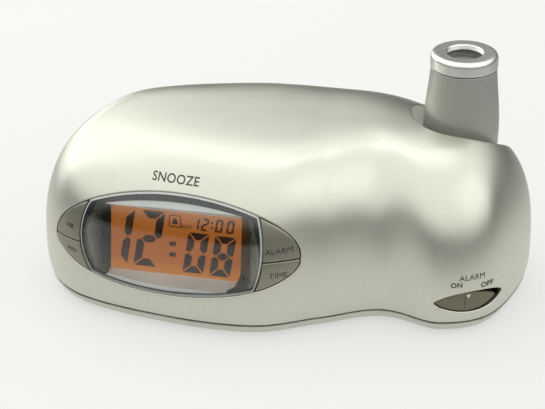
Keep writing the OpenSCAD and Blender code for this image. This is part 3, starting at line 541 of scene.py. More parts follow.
def make_case():
    """The shell: outer skin, inner skin and rounded edges at every opening, as one closed mesh."""
    front_columns, back_columns, low_rows, high_rows = 162, 108, 8, 58
    columns = [front_spans * k / front_columns for k in range(front_columns)]
    columns += [front_spans + (spans - front_spans) * k / back_columns for k in range(back_columns)]
    rows = [-1 + k / low_rows for k in range(1, low_rows + 1)] + even_rows(high_rows)
    profile = edge_profile(edge_radius, edge_steps)
    window = pane_rings(almond, window_middle, front_pane, 320, profile)
    slot = pane_rings(slot_outline, (0, 0), slot_pane, 160, profile)
    well = well_rings(profile)
    openings = [[place for place, _ in window[0]], [place for place, _ in slot[0]],
                [mark[2] for mark in well[0]]]
    places = [(t, -1.0) for t in columns]
    loops = [list(range(len(places)))]
    for opening in openings:
        loops.append(list(range(len(places), len(places) + len(opening))))
        places += opening
    flat = [flat_place(*p) for p in places]
    keep_out = []
    spot_gap = 0.6
    for loop in loops[1:]:
        ring = [flat[i] for i in loop]
        xs, ys = [p[0] for p in ring], [p[1] for p in ring]
        keep_out.append((ring, min(xs) - 1, max(xs) + 1, min(ys) - 1, max(ys) + 1))

    def clear(x, y):
        for ring, x0, x1, y0, y1 in keep_out:
            if x0 < x < x1 and y0 < y < y1:
                if inside(x, y, ring) or min(math.hypot(x - a, y - b) for a, b in ring) < spot_gap:
                    return False
        return True

    spots = [(t, h) for h in rows for t in columns] + [(t, 1.0) for t in columns if t <= front_spans]
    for t, h in spots:
        x, y = flat_place(t, h)
        if clear(x, y):
            places.append((t, h))
            flat.append((x, y))
    skin_faces = triangles(flat, loops, 0)
    count = len(places)
    points = [skin(t, h) for t, h in places] + [skin(t, h, case_wall) for t, h in places]
    faces = [tuple(f) for f in skin_faces]
    faces += [(c + count, b + count, a + count) for a, b, c in skin_faces]
    bottom = loops[0]
    bridge(faces, bottom, [i + count for i in bottom])
    for loop, rings, inward in ((loops[1], window, front_pane.inward), (loops[2], slot, slot_pane.inward)):
        last = loop
        for ring in rings[1:]:
            last = grow(points, faces, last, [Vector(skin(*place)) + inward * depth for place, depth in ring])
        bridge(faces, last, [i + count for i in loop])
    # The well goes down as a round wall at the front, and the notch's sides and sill run back from it
    last, loop = loops[3], loops[3]
    corner_y = well_y + well_radius * math.sin(notch_angle)
    for ring in well[1:]:
        edge = []
        for kind, value, place, depth in ring:
            p = Vector(skin(*place))
            n = skin_normal(*place)
            if kind in ("arc", "corner"):
                p.z -= depth
            elif kind == "side":
                p -= Vector((0, n.y, n.z)).normalized() * depth
            else:
                p -= Vector((n.x, n.y, 0)).normalized() * depth
            edge.append(p)
        last = grow(points, faces, last, edge)
    walls = [[], []]
    for i, (kind, value, place, depth) in zip(last, well[-1]):
        p = Vector(points[i])
        out = Vector((p.x - well_x, p.y - well_y, 0)).normalized() * well_wall
        if kind in ("arc", "corner"):
            q = Vector((p.x, p.y, well_bottom))
        elif kind == "side":
            q = Vector((p.x, corner_y, p.z))
            out = Vector((value * well_wall, 0, 0))
        else:
            q = Vector((p.x, well_y + math.sqrt(well_radius ** 2 - (p.x - well_x) ** 2), well_floor))
            out = Vector((0, 0, -well_wall))
        walls[0].append(q)
        walls[1].append(q + out)
    for wall in walls:
        last = grow(points, faces, last, wall)
    bridge(faces, last, [i + count for i in loop])
    return piece("case_shell", points, faces, case_paint, "housing", "case_silver", "upper_case")


make_case()

# ---- Window bezel ----
# An ABS frame behind the clear window, vacuum metallised and brushed. Its sheet follows the case's
# skin, and four sloped faces with mitred corners lead down to the display glass.
lens_left, lens_left_z, lens_left_radius = -40.0, 28.7, 21.5
lens_right, lens_right_z, lens_right_radius = -34.1, 31.0, 35.0
glass_lean = math.radians(7.5)
view_half, view_tall, view_top = 21.8, 11.05, 10.6
display_at = Vector((-29.8, -35.6, 27.25))
display_up = Vector((0, math.sin(glass_lean), math.cos(glass_lean)))
display_out = Vector((0, -math.cos(glass_lean), math.sin(glass_lean)))
funnel_depth, funnel_wide, funnel_tall = 12.0, 1.36, 1.62
bezel_inset = case_wall + 0.35
bezel_land, bezel_thick, bezel_gap = 2.2, 1.2, 0.4
sheet_marks, sheet_pitch, view_marks, foot_rise = 240, 1.5, 40, 0.15


def on_display(x, y, z=0.0):
    """Point by its place on the display: x to the right, y up and z towards the viewer."""
    return display_at + Vector((x, 0, 0)) + display_up * y + display_out * z


def lens_side(x, z):
    """Signed distance from the two arcs that part the lens from the buttons."""
    left = math.hypot(x - lens_left, z - lens_left_z) - lens_left_radius if x < lens_left else -9.0
    right = math.hypot(x - lens_right, z - lens_right_z) - lens_right_radius if x > lens_right else -9.0
    return max(left, right)


def lens_outline(x, z):
    return max(almond(x, z), lens_side(x, z))


def grid_inside(shape, level, x_range, y_range, step):
    """Even points of a pane that lie inside the outline."""
    found = []
    rows = int((y_range[1] - y_range[0]) / step)
    cols = int((x_range[1] - x_range[0]) / step)
    for r in range(rows + 1):
        for c in range(cols + 1):
            x, y = x_range[0] + c * step + (r % 2) * step / 2, y_range[0] + r * step
            if shape(x, y) < level:
                found.append((x, y))
    return found


def brushed_metal(name, low, high, direction, roughness, metallic, painted_shade_span=None):
    """Vacuum metallised plastic with fine lines: a mirror broken up into long soft streaks, with painted
    shade next to the glass when a span is given.
    """
    material, shader = new_material(name, Metallic=metallic, Roughness=roughness)
    place = own_place(material)
    drawn = add(material, "ShaderNodeMapping", {"Scale": direction}, {"Vector": place}).outputs["Vector"]
    lines = noise(material, drawn, 0.45, 3.0)
    colour = ramp(material, lines, [(0.3, low), (0.7, high)])
    if painted_shade_span:
        # Painted shade: the colour is darker next to the glass and lightens away from it, over the span from
        # near to far
        near, far = painted_shade_span
        side = calc(material, "SUBTRACT", axis(material, place, "X"), display_at.x * MM)
        side = calc(material, "ABSOLUTE", side)
        shade = ramp(material, span(material, side, near * MM, far * MM),
                     [(0.0, "#2E2E2A"), (0.35, "#62625C"), (0.75, "#C0C0B8"), (1.0, "#FFFFFF")])
        colour = add(material, "ShaderNodeMix", {"data_type": "RGBA", "blend_type": "MULTIPLY", 0: 1.0},
                     {6: colour, 7: shade}).outputs[2]
    material.node_tree.links.new(colour, shader.inputs["Base Color"])
    roughen(material, shader, lines, roughness - 0.06, roughness + 0.06)
    emboss(material, shader, lines, 0.15, 0.02)
    return material


# The lines run up and down on the side panels, and along the faces above and below the glass
# The side panels take a darker metallic copy of the finish, with painted shade next to the glass
side_metal = brushed_metal("Brushed metallised ABS with painted shade", "#7C7E77", "#B0B2AA", (1.0, 1.0, 0.03), 0.3, 0.8,
                           (21, 31))
# Painted light: the faces above and below the glass get a lit copy of the metallised finish, near white,
# hardly metallic and slightly cool in tint
lit_face_metal = brushed_metal("Metallised ABS painted as lit", "#EDF1EE", "#F8FBF8", (0.03, 1.0, 1.0), 0.4, 0.05)


def make_bezel():
    """The sheet, the four sloped faces and the back of the frame, as one closed mesh."""
    sheet = trace(lens_outline, window_middle, -bezel_gap, sheet_marks)
    view = [(view_half, view_top), (-view_half, view_top), (-view_half, -view_tall), (view_half, -view_tall)]
    rim = []
    for i, (x, y) in enumerate(view):
        next_x, next_y = view[(i + 1) % 4]
        shares = [k / view_marks for k in range(view_marks)]
        rim += [(x + (next_x - x) * f, y + (next_y - y) * f) for f in shares]
    hole, foot = [], []
    start = None
    for x, y in rim:
        low, high = 0.0, 1.0
        for _ in range(18):
            s = (low + high) / 2
            q = on_display(x * (1 + (funnel_wide - 1) * s), y * (1 + (funnel_tall - 1) * s), funnel_depth * s)
            start = front_pane.spot(q.x, q.z, bezel_inset, start)
            if q.y > skin(*start, bezel_inset)[1] and lens_outline(q.x, q.z) < -bezel_land:
                low = s
            else:
                high = s
        hole.append((q.x, q.z))
        foot.append(on_display(x, y, foot_rise))
    flat = sheet + hole
    loops = [list(range(len(sheet))), list(range(len(sheet), len(flat)))]

    def over_mitre(p):
        """How far a point is over the mitres, on the side of the faces above and below the glass."""
        q = p - display_at
        share = q.dot(display_out) / funnel_depth
        return (abs(q.dot(display_up)) / view_tall / (1 + (funnel_tall - 1) * share)
                - abs(q.x) / view_half / (1 + (funnel_wide - 1) * share))

    mitre = []
    for side in (-1, 1):
        for half in (-1, 1):
            for k in range(24):
                x = display_at.x + side * (view_half + 0.6 * k)
                z = halve(lambda z: over_mitre(front_pane.point(x, display_at.z + half * z, bezel_inset)) < 0,
                          0.0, 26.0, 9)
                mitre.append((x, display_at.z + half * z))
    # Points along the mitres, then a grid of points that keeps off them and off the hole
    spots = [(q, 0.3) for q in mitre]
    spots += [(q, 0.8) for q in grid_inside(lens_outline, -1.2, (-75, 12), (10, 52), sheet_pitch)
              if min((q[0] - a) ** 2 + (q[1] - b) ** 2 for a, b in mitre) > 0.5]
    for (x, z), clear in spots:
        if lens_outline(x, z) < -0.8 and not inside(x, z, hole):
            if min((x - a) ** 2 + (z - b) ** 2 for a, b in hole) > clear:
                flat.append((x, z))
    kept = triangles(flat, loops, 0)
    points = [Vector(skin(*place, bezel_inset)) for place in front_pane.spots(flat, bezel_inset, start)]
    count = len(points)
    faces = [tuple(f) for f in kept]
    points += foot
    bridge(faces, loops[1], list(range(count, count + len(foot))))
    # The back of the frame runs along behind its face
    total = len(points)
    points += [p + Vector((0, bezel_thick, 0)) for p in points]
    faces += [tuple(i + total for i in reversed(f)) for f in faces]
    bridge(faces, loops[0], [i + total for i in loops[0]])
    bridge(faces, list(range(count, total)), list(range(count + total, 2 * total)))
    bezel = piece("window_bezel", points, faces, side_metal, "housing", "bezel_metal", "display_frame",
                  sharp=20)
    # The faces over the mitres, above and below the glass, take the painted lit copy
    bezel.data.materials.append(lit_face_metal)
    for face in bezel.data.polygons:
        if over_mitre(face.center / MM) > 0:
            face.material_index = 1


make_bezel()

# ---- Display ----
# A liquid crystal cell lit from behind by a small lamp: amber glass, brighter towards its lower edge,
# with dark slanted segments that stand just in front of the light.
cell_glow = 0.52
segment_depth = 0.06


def toned(name, low, high, grain_mm, **settings):
    """An even material whose colour wavers a little between two tones."""
    material, shader = new_material(name, **settings)
    colour_by(material, shader, noise(material, own_place(material), grain_mm), [(0.3, low), (0.7, high)])
    return material


def amber_cell():
    """Twisted nematic cell over an amber light guide: it glows evenly, with soft mottling."""
    material, shader = new_material("Amber backlit cell", Roughness=0.3, Specular_IOR_Level=0.1,
                                    Emission_Strength=cell_glow)
    place = own_place(material)
    height, clouds = axis(material, place, "Z"), noise(material, place, 9)
    low, high = (display_at.z - view_tall) * MM, (display_at.z + view_tall) * MM
    mixed = calc(material, "ADD", span(material, height, low, high),
                 calc(material, "MULTIPLY_ADD", clouds, 0.22, -0.11))
    glow = ramp(material, mixed,
                [(0.0, "#D98A28"), (0.12, "#CE7D27"), (0.2, "#BC6C25"), (0.6, "#BA6B27"), (1.0, "#C27A38")])
    material.node_tree.links.new(glow, shader.inputs["Emission Color"])
    colour_by(material, shader, clouds, [(0.3, "#5E2E0A"), (0.7, "#6A370E")])
    return material


def slab(points, faces, corners, low=0.0, high=segment_depth):
    """Adds a flat plate: its corners lie on the display, from depth low to depth high."""
    start = len(points)
    points += [on_display(x, y, depth) for depth in (low, high) for x, y in corners]
    n = len(corners)
    faces.append(tuple(range(start, start + n)))
    faces.append(tuple(range(start + 2 * n - 1, start + n - 1, -1)))
    bridge(faces, list(range(start, start + n)), list(range(start + n, start + 2 * n)))


def round_rectangle(half_x, half_y, radius, steps=6):
    corners = []
    for cx, cy, first in ((1, 1, 0), (-1, 1, 90), (-1, -1, 180), (1, -1, 270)):
        for k in range(steps + 1):
            a = math.radians(first + 90 * k / steps)
            corners.append((cx * (half_x - radius) + radius * math.cos(a),
                            cy * (half_y - radius) + radius * math.sin(a)))
    return corners


glass_half, glass_tall, glass_thick = 24.5, 13.75, 2.6
glass_points, glass_faces = [], []
slab(glass_points, glass_faces, round_rectangle(glass_half, glass_tall, 0.6), -glass_thick + 0.02, -0.02)
piece("lcd_cell", glass_points, glass_faces, amber_cell(), "housing", "display_glass", "display_glass")

# Which of the seven bars each figure lights, from the top clockwise, with the middle bar last
figure_bars = {"0": "abcdef", "1": "bc", "2": "abdeg", "8": "abcdefg"}
figure_slant = math.tan(math.radians(8))


def figure(points, faces, digit, x, y, width, height, bar):
    """One slanted seven-bar figure with its lower left corner at x, y."""
    gap, half = bar * 0.13, bar / 2
    w, h, m = width, height, height / 2
    high, low = m + gap + half * 0.4, m - gap - half * 0.4
    shapes = {
        "a": [(gap, h), (w - gap, h), (w - bar - gap, h - bar), (bar + gap, h - bar)],
        "b": [(w, h - gap), (w - bar, h - bar - gap), (w - bar, m + half + gap), (w - half, m + gap * 0.6),
              (w, high)],
        "c": [(w, gap), (w, low), (w - half, m - gap * 0.6), (w - bar, m - half - gap), (w - bar, bar + gap)],
        "d": [(gap, 0), (bar + gap, bar), (w - bar - gap, bar), (w - gap, 0)],
        "e": [(0, gap), (bar, bar + gap), (bar, m - half - gap), (half, m - gap * 0.6), (0, low)],
        "f": [(0, h - gap), (0, high), (half, m + gap * 0.6), (bar, m + half + gap), (bar, h - bar - gap)],
        "g": [(half + gap, m), (bar + gap, m + half), (w - bar - gap, m + half), (w - half - gap, m),
              (w - bar - gap, m - half), (bar + gap, m - half)],
    }
    for key in figure_bars[digit]:
        slab(points, faces, [(x + px + figure_slant * py, y + py) for px, py in shapes[key]])


bar_points, bar_faces = [], []
# The time, and smaller over it the alarm: four figures each, with two dots between hours and minutes
for figures, dots in (
    ((("1", -24.3, -9.1, 8.0, 19.1, 2.55), ("2", -14.2, -9.1, 8.0, 19.1, 2.55),
      ("0", 2.4, -9.7, 6.9, 13.8, 2.4), ("8", 11.3, -9.9, 6.9, 13.8, 2.4)),
     ((-2.1, -4.9, 2.1, 1.5, 0.2), (-2.1, -1.2, 2.1, 1.5, 0.2))),
    ((("1", 5.1, 5.0, 2.4, 4.4, 0.72), ("2", 8.2, 5.0, 2.4, 4.4, 0.72),
      ("0", 12.9, 5.0, 2.4, 4.4, 0.72), ("0", 16.6, 5.0, 2.4, 4.4, 0.72)),
     ((11.6, 6.1, 0.7, 0.6, 0.1), (11.6, 7.7, 0.7, 0.6, 0.1))),
):
    for marks in figures:
        figure(bar_points, bar_faces, *marks)
    for x, y, wide, tall, lean in dots:
        slab(bar_points, bar_faces,
             [(x, y), (x + wide, y), (x + wide + lean, y + tall), (x + lean, y + tall)])

# Alarm mark: a bell in a rounded frame
bell_x, bell_y = -0.3, 7.3


def frame_band(points, faces, x, y, outer, inner):
    """A flat ring between two outlines of as many corners."""
    start, n = len(points), len(outer)
    for depth in (0.0, segment_depth):
        points += [on_display(x + px, y + py, depth) for px, py in outer]
        points += [on_display(x + px, y + py, depth) for px, py in inner]
    rings = [list(range(start + k * n, start + (k + 1) * n)) for k in range(4)]
    for one, other in ((0, 1), (1, 3), (3, 2), (2, 0)):
        bridge(faces, rings[one], rings[other])


frame_band(bar_points, bar_faces, bell_x, bell_y, round_rectangle(2.05, 2.05, 0.6),
           round_rectangle(1.75, 1.75, 0.4))
bell_half = [(1.2, -0.9), (0.85, -0.5), (0.7, 0.3), (0.4, 0.85)]
bell = bell_half + [(0, 1.1)] + [(-x, y) for x, y in reversed(bell_half)]
clapper = [(-0.3, -1.05), (0, -1.35), (0.3, -1.05)]
for shape in (bell, clapper):
    slab(bar_points, bar_faces, [(bell_x + px, bell_y + py) for px, py in shape])
segment_dark = toned("Dark liquid crystal", "#2E1C12", "#452A18", 4, Roughness=0.45, Specular_IOR_Level=0.1)
piece("lcd_figures", bar_points, bar_faces, segment_dark, "housing", "display_glass")

# ---- Window shade band ----
# A dark strip with a foam texture between the lens and the bezel: painted shade for the dark border round the
# window. It is cut wider along the top, where it shows through the lens as a thick dark border.
shade_band_front, shade_band_back = case_wall + 0.05, case_wall + 0.3
shade_band_out = 0.5


def shade_band_width(x, z):
    rise = math.sin(math.atan2(z - window_middle[1], (x - window_middle[0]) * 0.5))
    return 0.3 + 2.7 * max(0.0, rise) ** 0.6


def dark_pitted(name, low, high):
    """Dark matt colour with the fine pits of cut foam cells, for the painted shade band."""
    material, shader = new_material(name, Roughness=0.75)
    cells = add(material, "ShaderNodeTexVoronoi", {"Scale": 1 / (0.35 * MM)},
                {"Vector": own_place(material)}).outputs["Distance"]
    colour_by(material, shader, cells, [(0.1, low), (0.6, high)])
    emboss(material, shader, cells, 0.3, 0.05)
    return material


# Painted shade: the band is dark so that it shows as the shaded border round the window
def make_shade_band():
    rings = []
    for share in (0.0, 0.33, 0.67, 1.0):
        rings.append(trace(lambda x, z: lens_outline(x, z) + shade_band_out + share * shade_band_width(x, z),
                           window_middle, 0.0, 240))
    points, loops = [], []
    for inset, order in ((shade_band_front, rings), (shade_band_back, rings[::-1])):
        for ring in order:
            loops.append(list(range(len(points), len(points) + len(ring))))
            points += [skin(*place, inset) for place in front_pane.spots(ring, inset)]
    faces = []
    for k in range(len(loops)):
        bridge(faces, loops[k - 1], loops[k])
    piece("window_shade_band", points, faces, dark_pitted("Dark blue grey painted shade band", "#15191A", "#2C3335"), "housing",
          "black_plastic")


make_shade_band()

# ---- Window lens ----
# A clear acrylic moulding, 2 mm thick and polished on both sides. Its face carries on the skin of the
# case, so it bulges like a loupe, and it is glued to the bezel behind it.
lens_gap = 0.12
lens_thick = 2.0
groove_step = 0.3


def clear_plastic(name, tint, index, roughness=0.02):
    """Polished clear acrylic: clean glassy reflections, with the faint haze of a wiped surface."""
    material, shader = new_material(name, Transmission_Weight=1.0, IOR=index, Roughness=roughness,
                                    Specular_IOR_Level=0.15)
    haze = noise(material, own_place(material), 12, 4.0)
    colour_by(material, shader, haze, [(0.3, tint), (0.7, "#FFFFFF")])
    roughen(material, shader, haze, roughness, roughness + 0.03, start=0.4)
    return material


def cap(name, shape, middle, pane, step, inset, depth, radius, material, body, slot, *nodes, count=160,
        groove=None):
    """A part that fills an opening: its face follows the skin, its edge is rounded, its sides straight."""
    edge = trace(shape, middle, -radius, count)
    profile = edge_profile(radius, 3)
    rings = pane_rings(shape, middle, pane, count, profile, inset, sign=-1)
    xs, ys = [p[0] for p in edge], [p[1] for p in edge]
    inner = grid_inside(shape, -radius - 0.4 * step, (min(xs), max(xs)), (min(ys), max(ys)), step)
    if groove is not None:
        across_x, half_wide = groove
        inner = [(x, y) for x, y in inner if abs(x - across_x) > 2 * half_wide]
        tall = int((max(ys) - min(ys)) / groove_step)
        inner += [(x, y) for x in (across_x - half_wide, across_x, across_x + half_wide)
                  for y in (min(ys) + groove_step * k for k in range(tall)) if shape(x, y) < -radius - 0.1]
    flat = edge + inner
    kept = triangles(flat, [list(range(count))], 0)
    start = rings[0][0][0]
    points = [Vector(skin(*place, inset)) for place, _ in rings[0]]
    for x, y in inner:
        spot = pane.spot(x, y, inset, start)
        p = Vector(skin(*spot, inset))
        if groove is not None and abs(x - across_x) < 0.5 * half_wide:
            p += pane.inward * half_wide
        points.append(p)
    total = len(points)
    faces = [tuple(f) for f in kept] + [tuple(i + total for i in reversed(f)) for f in kept]
    points += [p + pane.inward * depth for p in points]
    last = list(range(count))
    for ring in rings[1:] + [[(place, depth) for place, _ in rings[-1]]]:
        last = grow(points, faces, last,
                    [Vector(skin(*place, inset)) + pane.inward * down for place, down in ring])
    bridge(faces, last, [i + total for i in range(count)])
    return piece(name, points, faces, material, body, slot, *nodes)


window_acrylic = clear_plastic("Clear polished acrylic", "#F4F8F6", 1.49)
lens_bevel = 0.45
lens_marks = 260
window_lens = cap("window_lens_clear", lambda x, z: lens_outline(x, z) + lens_gap, window_middle,
                  front_pane, 2.0, 0.0, lens_thick, lens_bevel, window_acrylic, "housing", "window_clear",
                  "window_lens", count=lens_marks)

# Its bevelled edge gets a pale, half clear finish like frosting: a painted highlight that shows as a pale
# line all round
window_lens.data.materials.append(toned("Acrylic edge painted pale as a highlight", "#D6DBD6", "#F0F3EE", 0.6,
                                        Roughness=0.3, Transmission_Weight=0.35))
polished = trace(lens_outline, window_middle, -lens_gap - lens_bevel, lens_marks)
for face in window_lens.data.polygons:
    if not inside(face.center.x / MM, face.center.z / MM, polished):
        face.material_index = 1

# ---- Buttons ----
# Four moulded ABS caps in champagne metallic paint, two at each tip of the window. Each follows the
# skin of the case, has a fine bevel round its edge, and is pressed in by half a millimetre.
button_gap = 0.25
button_inset = 0.05
button_depth = 2.2
button_bevel = 0.35
cut_gap = 0.4
left_cut, left_cut_turn = (-66.3, 25.3), math.radians(2.4)
right_cut, right_cut_turn = (6.8, 28.2), math.radians(0.5)
button_paint = painted_silver("Champagne metallic paint on ABS", "#8B897B", "#9C9A8C", 0.34, 0.3)


def button_shape(left, top):
    """Outline of one cap: its part of the almond, off the lens and its neighbour by their gaps."""
    (cx, cz), turn = (left_cut, left_cut_turn) if left else (right_cut, right_cut_turn)
    way = -1 if top else 1

    def shape(x, z):
        if left:
            beside = lens_left_radius - math.hypot(x - lens_left, z - lens_left_z)
        else:
            beside = lens_right_radius - math.hypot(x - lens_right, z - lens_right_z)
        off_middle = x - window_x + 15 if left else window_x + 15 - x
        line = (z - cz) * math.cos(turn) - (x - cx) * math.sin(turn)
        return max(almond(x, z) + button_gap, beside + button_gap, off_middle, way * line + cut_gap / 2)
    return shape


for name, left, top, middle in (
    ("hour_button", True, True, (-65.2, 34.4)), ("minute_button", True, False, (-64.8, 22.2)),
    ("alarm_button", False, True, (5.0, 34.5)), ("time_button", False, False, (4.2, 23.2)),
):
    cap(name + "_cap", button_shape(left, top), middle, front_pane, 1.2, button_inset, button_depth,
        button_bevel, button_paint, name, "button_taupe", name)

# ---- Alarm switch ----
# A slide switch knob in the same champagne paint, in a pointed oval slot. It is shorter than the slot
# by its travel, so a dark gap shows beside it, and a groove marks its middle.
slider_travel = 3.0
slot_gap = 0.25


def knob_outline(x, y):
    return max(slot_outline(x, y) + slot_gap, slot_outline(x + slider_travel, y) + slot_gap)


knob_paint = painted_silver("Dark champagne paint on the knob", "#6E6A58", "#7E7A68", 0.36, 0.3)
groove_x = -2.6
knob_inset = 0.4
cap("alarm_knob", knob_outline, (-slider_travel / 2, 0), slot_pane, 0.9, knob_inset, 2.2, 0.4, knob_paint,
    "alarm_slider", "button_taupe", "alarm_slider", groove=(groove_x, 0.22))

# ---- Projector ----
# A round arm in its own well: a painted ABS barrel on a ball-shaped knuckle between two cradle ears,
# with a smooth focus ring on top, threaded inside, and the lens in a cell within it.
axis_z = 42.0
tube_paint = painted_silver("Satin grey metallic paint on ABS", "#A8ACA3", "#B6BAB1", 0.33, metallic=0.5)
ring_paint = painted_silver("Satin silver paint on the focus ring", "#DCDFD9", "#EAEDE7", 0.28)


def rounded(corners, steps=5):
    """Outline with arcs at its corners, from (radius out, height, corner radius) marks."""
    points = []
    n = len(corners)
    for i, (x, z, r) in enumerate(corners):
        here = Vector((x, z))
        before = Vector(corners[i - 1][:2]) - here
        after = Vector(corners[(i + 1) % n][:2]) - here
        angle = before.angle(after)
        if r <= 0 or angle > math.radians(178):
            points.append((x, z))
            continue
        back_off = min(r / math.tan(angle / 2), 0.48 * before.length, 0.48 * after.length)
        a, b = here + before.normalized() * back_off, here + after.normalized() * back_off
        for k in range(steps + 1):
            f = k / steps
            p = a * (1 - f) ** 2 + here * 2 * f * (1 - f) + b * f * f
            points.append((p.x, p.y))
    return points


def turned(name, outline, material, body, slot, *nodes, height=axis_z, count=128, sharp=38):
    """A round part: its closed outline is turned about the projector's upright axis."""
    points, faces = [], []
    n = len(outline)
    for k in range(count):
        a = 2 * math.pi * k / count
        points += [(well_x + r * math.cos(a), well_y + r * math.sin(a), height + z) for r, z in outline]
    for k in range(count):
        bridge(faces, [k * n + i for i in range(n)], [(k + 1) % count * n + i for i in range(n)])
    return piece(name, points, faces, material, body, slot, *nodes, sharp=sharp)


barrel_marks = [(2.45, 12.3), (6, 12.52), (13, 12.6), (18, 12.35), (23, 11.88), (28, 11.35), (32.6, 10.97)]


def barrel_radius(z):
    """Radius of the barrel at a height over the tilt axis."""
    for i in range(len(barrel_marks) - 1):
        if z <= barrel_marks[i + 1][0]:
            break
    near = [barrel_marks[max(0, min(len(barrel_marks) - 1, i + k))] for k in (-1, 0, 1, 2)]
    f = (z - near[1][0]) / (near[2][0] - near[1][0])
    slope_a = (near[2][1] - near[0][1]) / max(near[2][0] - near[0][0], 1e-6)
    slope_b = (near[3][1] - near[1][1]) / max(near[3][0] - near[1][0], 1e-6)
    step = near[2][0] - near[1][0]
    return (near[1][1] * (2 * f ** 3 - 3 * f * f + 1) + slope_a * step * (f ** 3 - 2 * f * f + f)
            + near[2][1] * (3 * f * f - 2 * f ** 3) + slope_b * step * (f ** 3 - f * f))


barrel_low, barrel_high, barrel_steps = 2.45, 32.6, 24
barrel_heights = [barrel_low + (barrel_high - barrel_low) * k / barrel_steps for k in range(barrel_steps + 1)]
barrel = [(barrel_radius(z), z, 0) for z in barrel_heights]
tube_outline = rounded([(9.4, 2.45, 0.2)] + barrel + [
    (10.9, 33.2, 0.4), (9.3, 33.2, 0.2), (9.3, 36.2, 0.3), (8.1, 36.2, 0.2), (8.1, 18.5, 0), (9.4, 18.5, 0)])
turned("projector_barrel", tube_outline, tube_paint, "projector_arm", "tube_grey", "projector_tube")

ball_radius = 12.3
ball = [(ball_radius * math.cos(a), ball_radius * math.sin(a), 0)
        for a in (math.radians(-66 + (78 * k / 24)) for k in range(24))]
knuckle_outline = rounded([(5, -6, 0), (5, -11.2, 0)] + ball + [
    (12.1, 2.4, 0.3), (9.3, 2.4, 0), (9.3, 5.4, 0), (5, 5.4, 0)])
turned("projector_ball", knuckle_outline, tube_paint, "projector_arm", "tube_grey", "projector_knuckle")

ring_low, ring_high, ring_radius, ring_hole = 33.6, 38.3, 11.15, 6.0
thread_pitch, thread_depth = 0.3, 0.16
thread = [(ring_hole + thread_depth * (k % 2), ring_high - 0.4 - thread_pitch * k / 2, 0) for k in range(10)]
ring_outline = rounded([
    (9.38, ring_low, 0.1), (ring_radius, ring_low, 0.35), (ring_radius, ring_high, 1.9),
    (ring_hole + 0.3, ring_high, 0.2)] + thread + [(ring_hole + 0.35, 36.35, 0.0), (9.38, 36.35, 0.0)], 8)
turned("focus_ring_turned", ring_outline, ring_paint, "focus_ring", "ring_silver", "focus_ring")

cell_outline = rounded([(8, 22, 0.2), (8, 33.5, 0.3), (6.5, 33.5, 0.1), (6.3, 32.9, 0.05), (5.8, 32.9, 0.1),
                        (5.8, 32.2, 0.05), (6.1, 32.2, 0), (6.1, 30.1, 0), (5, 30.1, 0), (5, 22, 0)], 4)
turned("lens_cell_turned", cell_outline, tube_paint, "lens_cell", "black_plastic", "lens_cell")

glass_dome = [(5.9 * k / 16, 31.3 + 1.3 * math.sqrt(1 - (k / 16) ** 2), 0) for k in range(16)]
lens_dome = [(0.02, 30.1, 0), (5.9, 30.1, 0), (5.9, 31.3, 0.1)] + glass_dome[::-1]
lens_glass = clear_plastic("Clear projection lens", "#DCE8E4", 1.52, 0.01)
turned("projection_lens_glass", rounded(lens_dome, 3), lens_glass, "lens_cell", "optic_clear",
       "projection_lens", count=64)

# ---- Labels ----
# Pad printed in dark grey ink, straight onto the paint: a film a few hundredths of a millimetre thick.
ink = toned("Dark grey pad printing ink", "#24251F", "#36372F", 0.8, Roughness=0.5)
film = 0.05
print_step = 0.5


def print_words(name, words, place, height, material, body, slot, weight=0.0, wide=1.0):
    """Letters of a capital height in mm, cut into small facets that are put in place point by point."""
    data = bpy.data.curves.new(name, "FONT")
    data.body = words
    data.align_x, data.align_y = "CENTER", "CENTER"
    data.size = height / 0.69
    data.offset = weight
    data.extrude = film
    data.resolution_u = 4
    data.space_character = 1.04
    draft = bpy.data.objects.new(name + "_draft", data)
    bpy.context.scene.collection.objects.link(draft)
    mesh = bpy.data.meshes.new_from_object(draft.evaluated_get(bpy.context.evaluated_depsgraph_get()))
    bpy.data.objects.remove(draft)
    cut = bmesh.new()
    cut.from_mesh(mesh)
    for _ in range(4):
        bmesh.ops.triangulate(cut, faces=cut.faces)
        bmesh.ops.subdivide_edges(cut, edges=[e for e in cut.edges if e.calc_length() > print_step], cuts=1)
    bmesh.ops.triangulate(cut, faces=cut.faces)
    points = [place(v.co.x * wide, v.co.y, v.co.z) for v in cut.verts]
    faces = [tuple(v.index for v in f.verts) for f in cut.faces]
    cut.free()
    piece(name, points, faces, material, body, slot, sharp=30)


def on_pane(pane, x, y, inset=0.0, turn=0.0):
    """Places letters on the skin round a point of a pane, turned in its plane by degrees."""
    c, s = math.cos(math.radians(turn)), math.sin(math.radians(turn))

    def place(px, py, pz):
        spot = pane.spot(x + c * px - s * py, y + s * px + c * py, inset)
        return Vector(skin(*spot, inset)) - pane.inward * pz
    return place


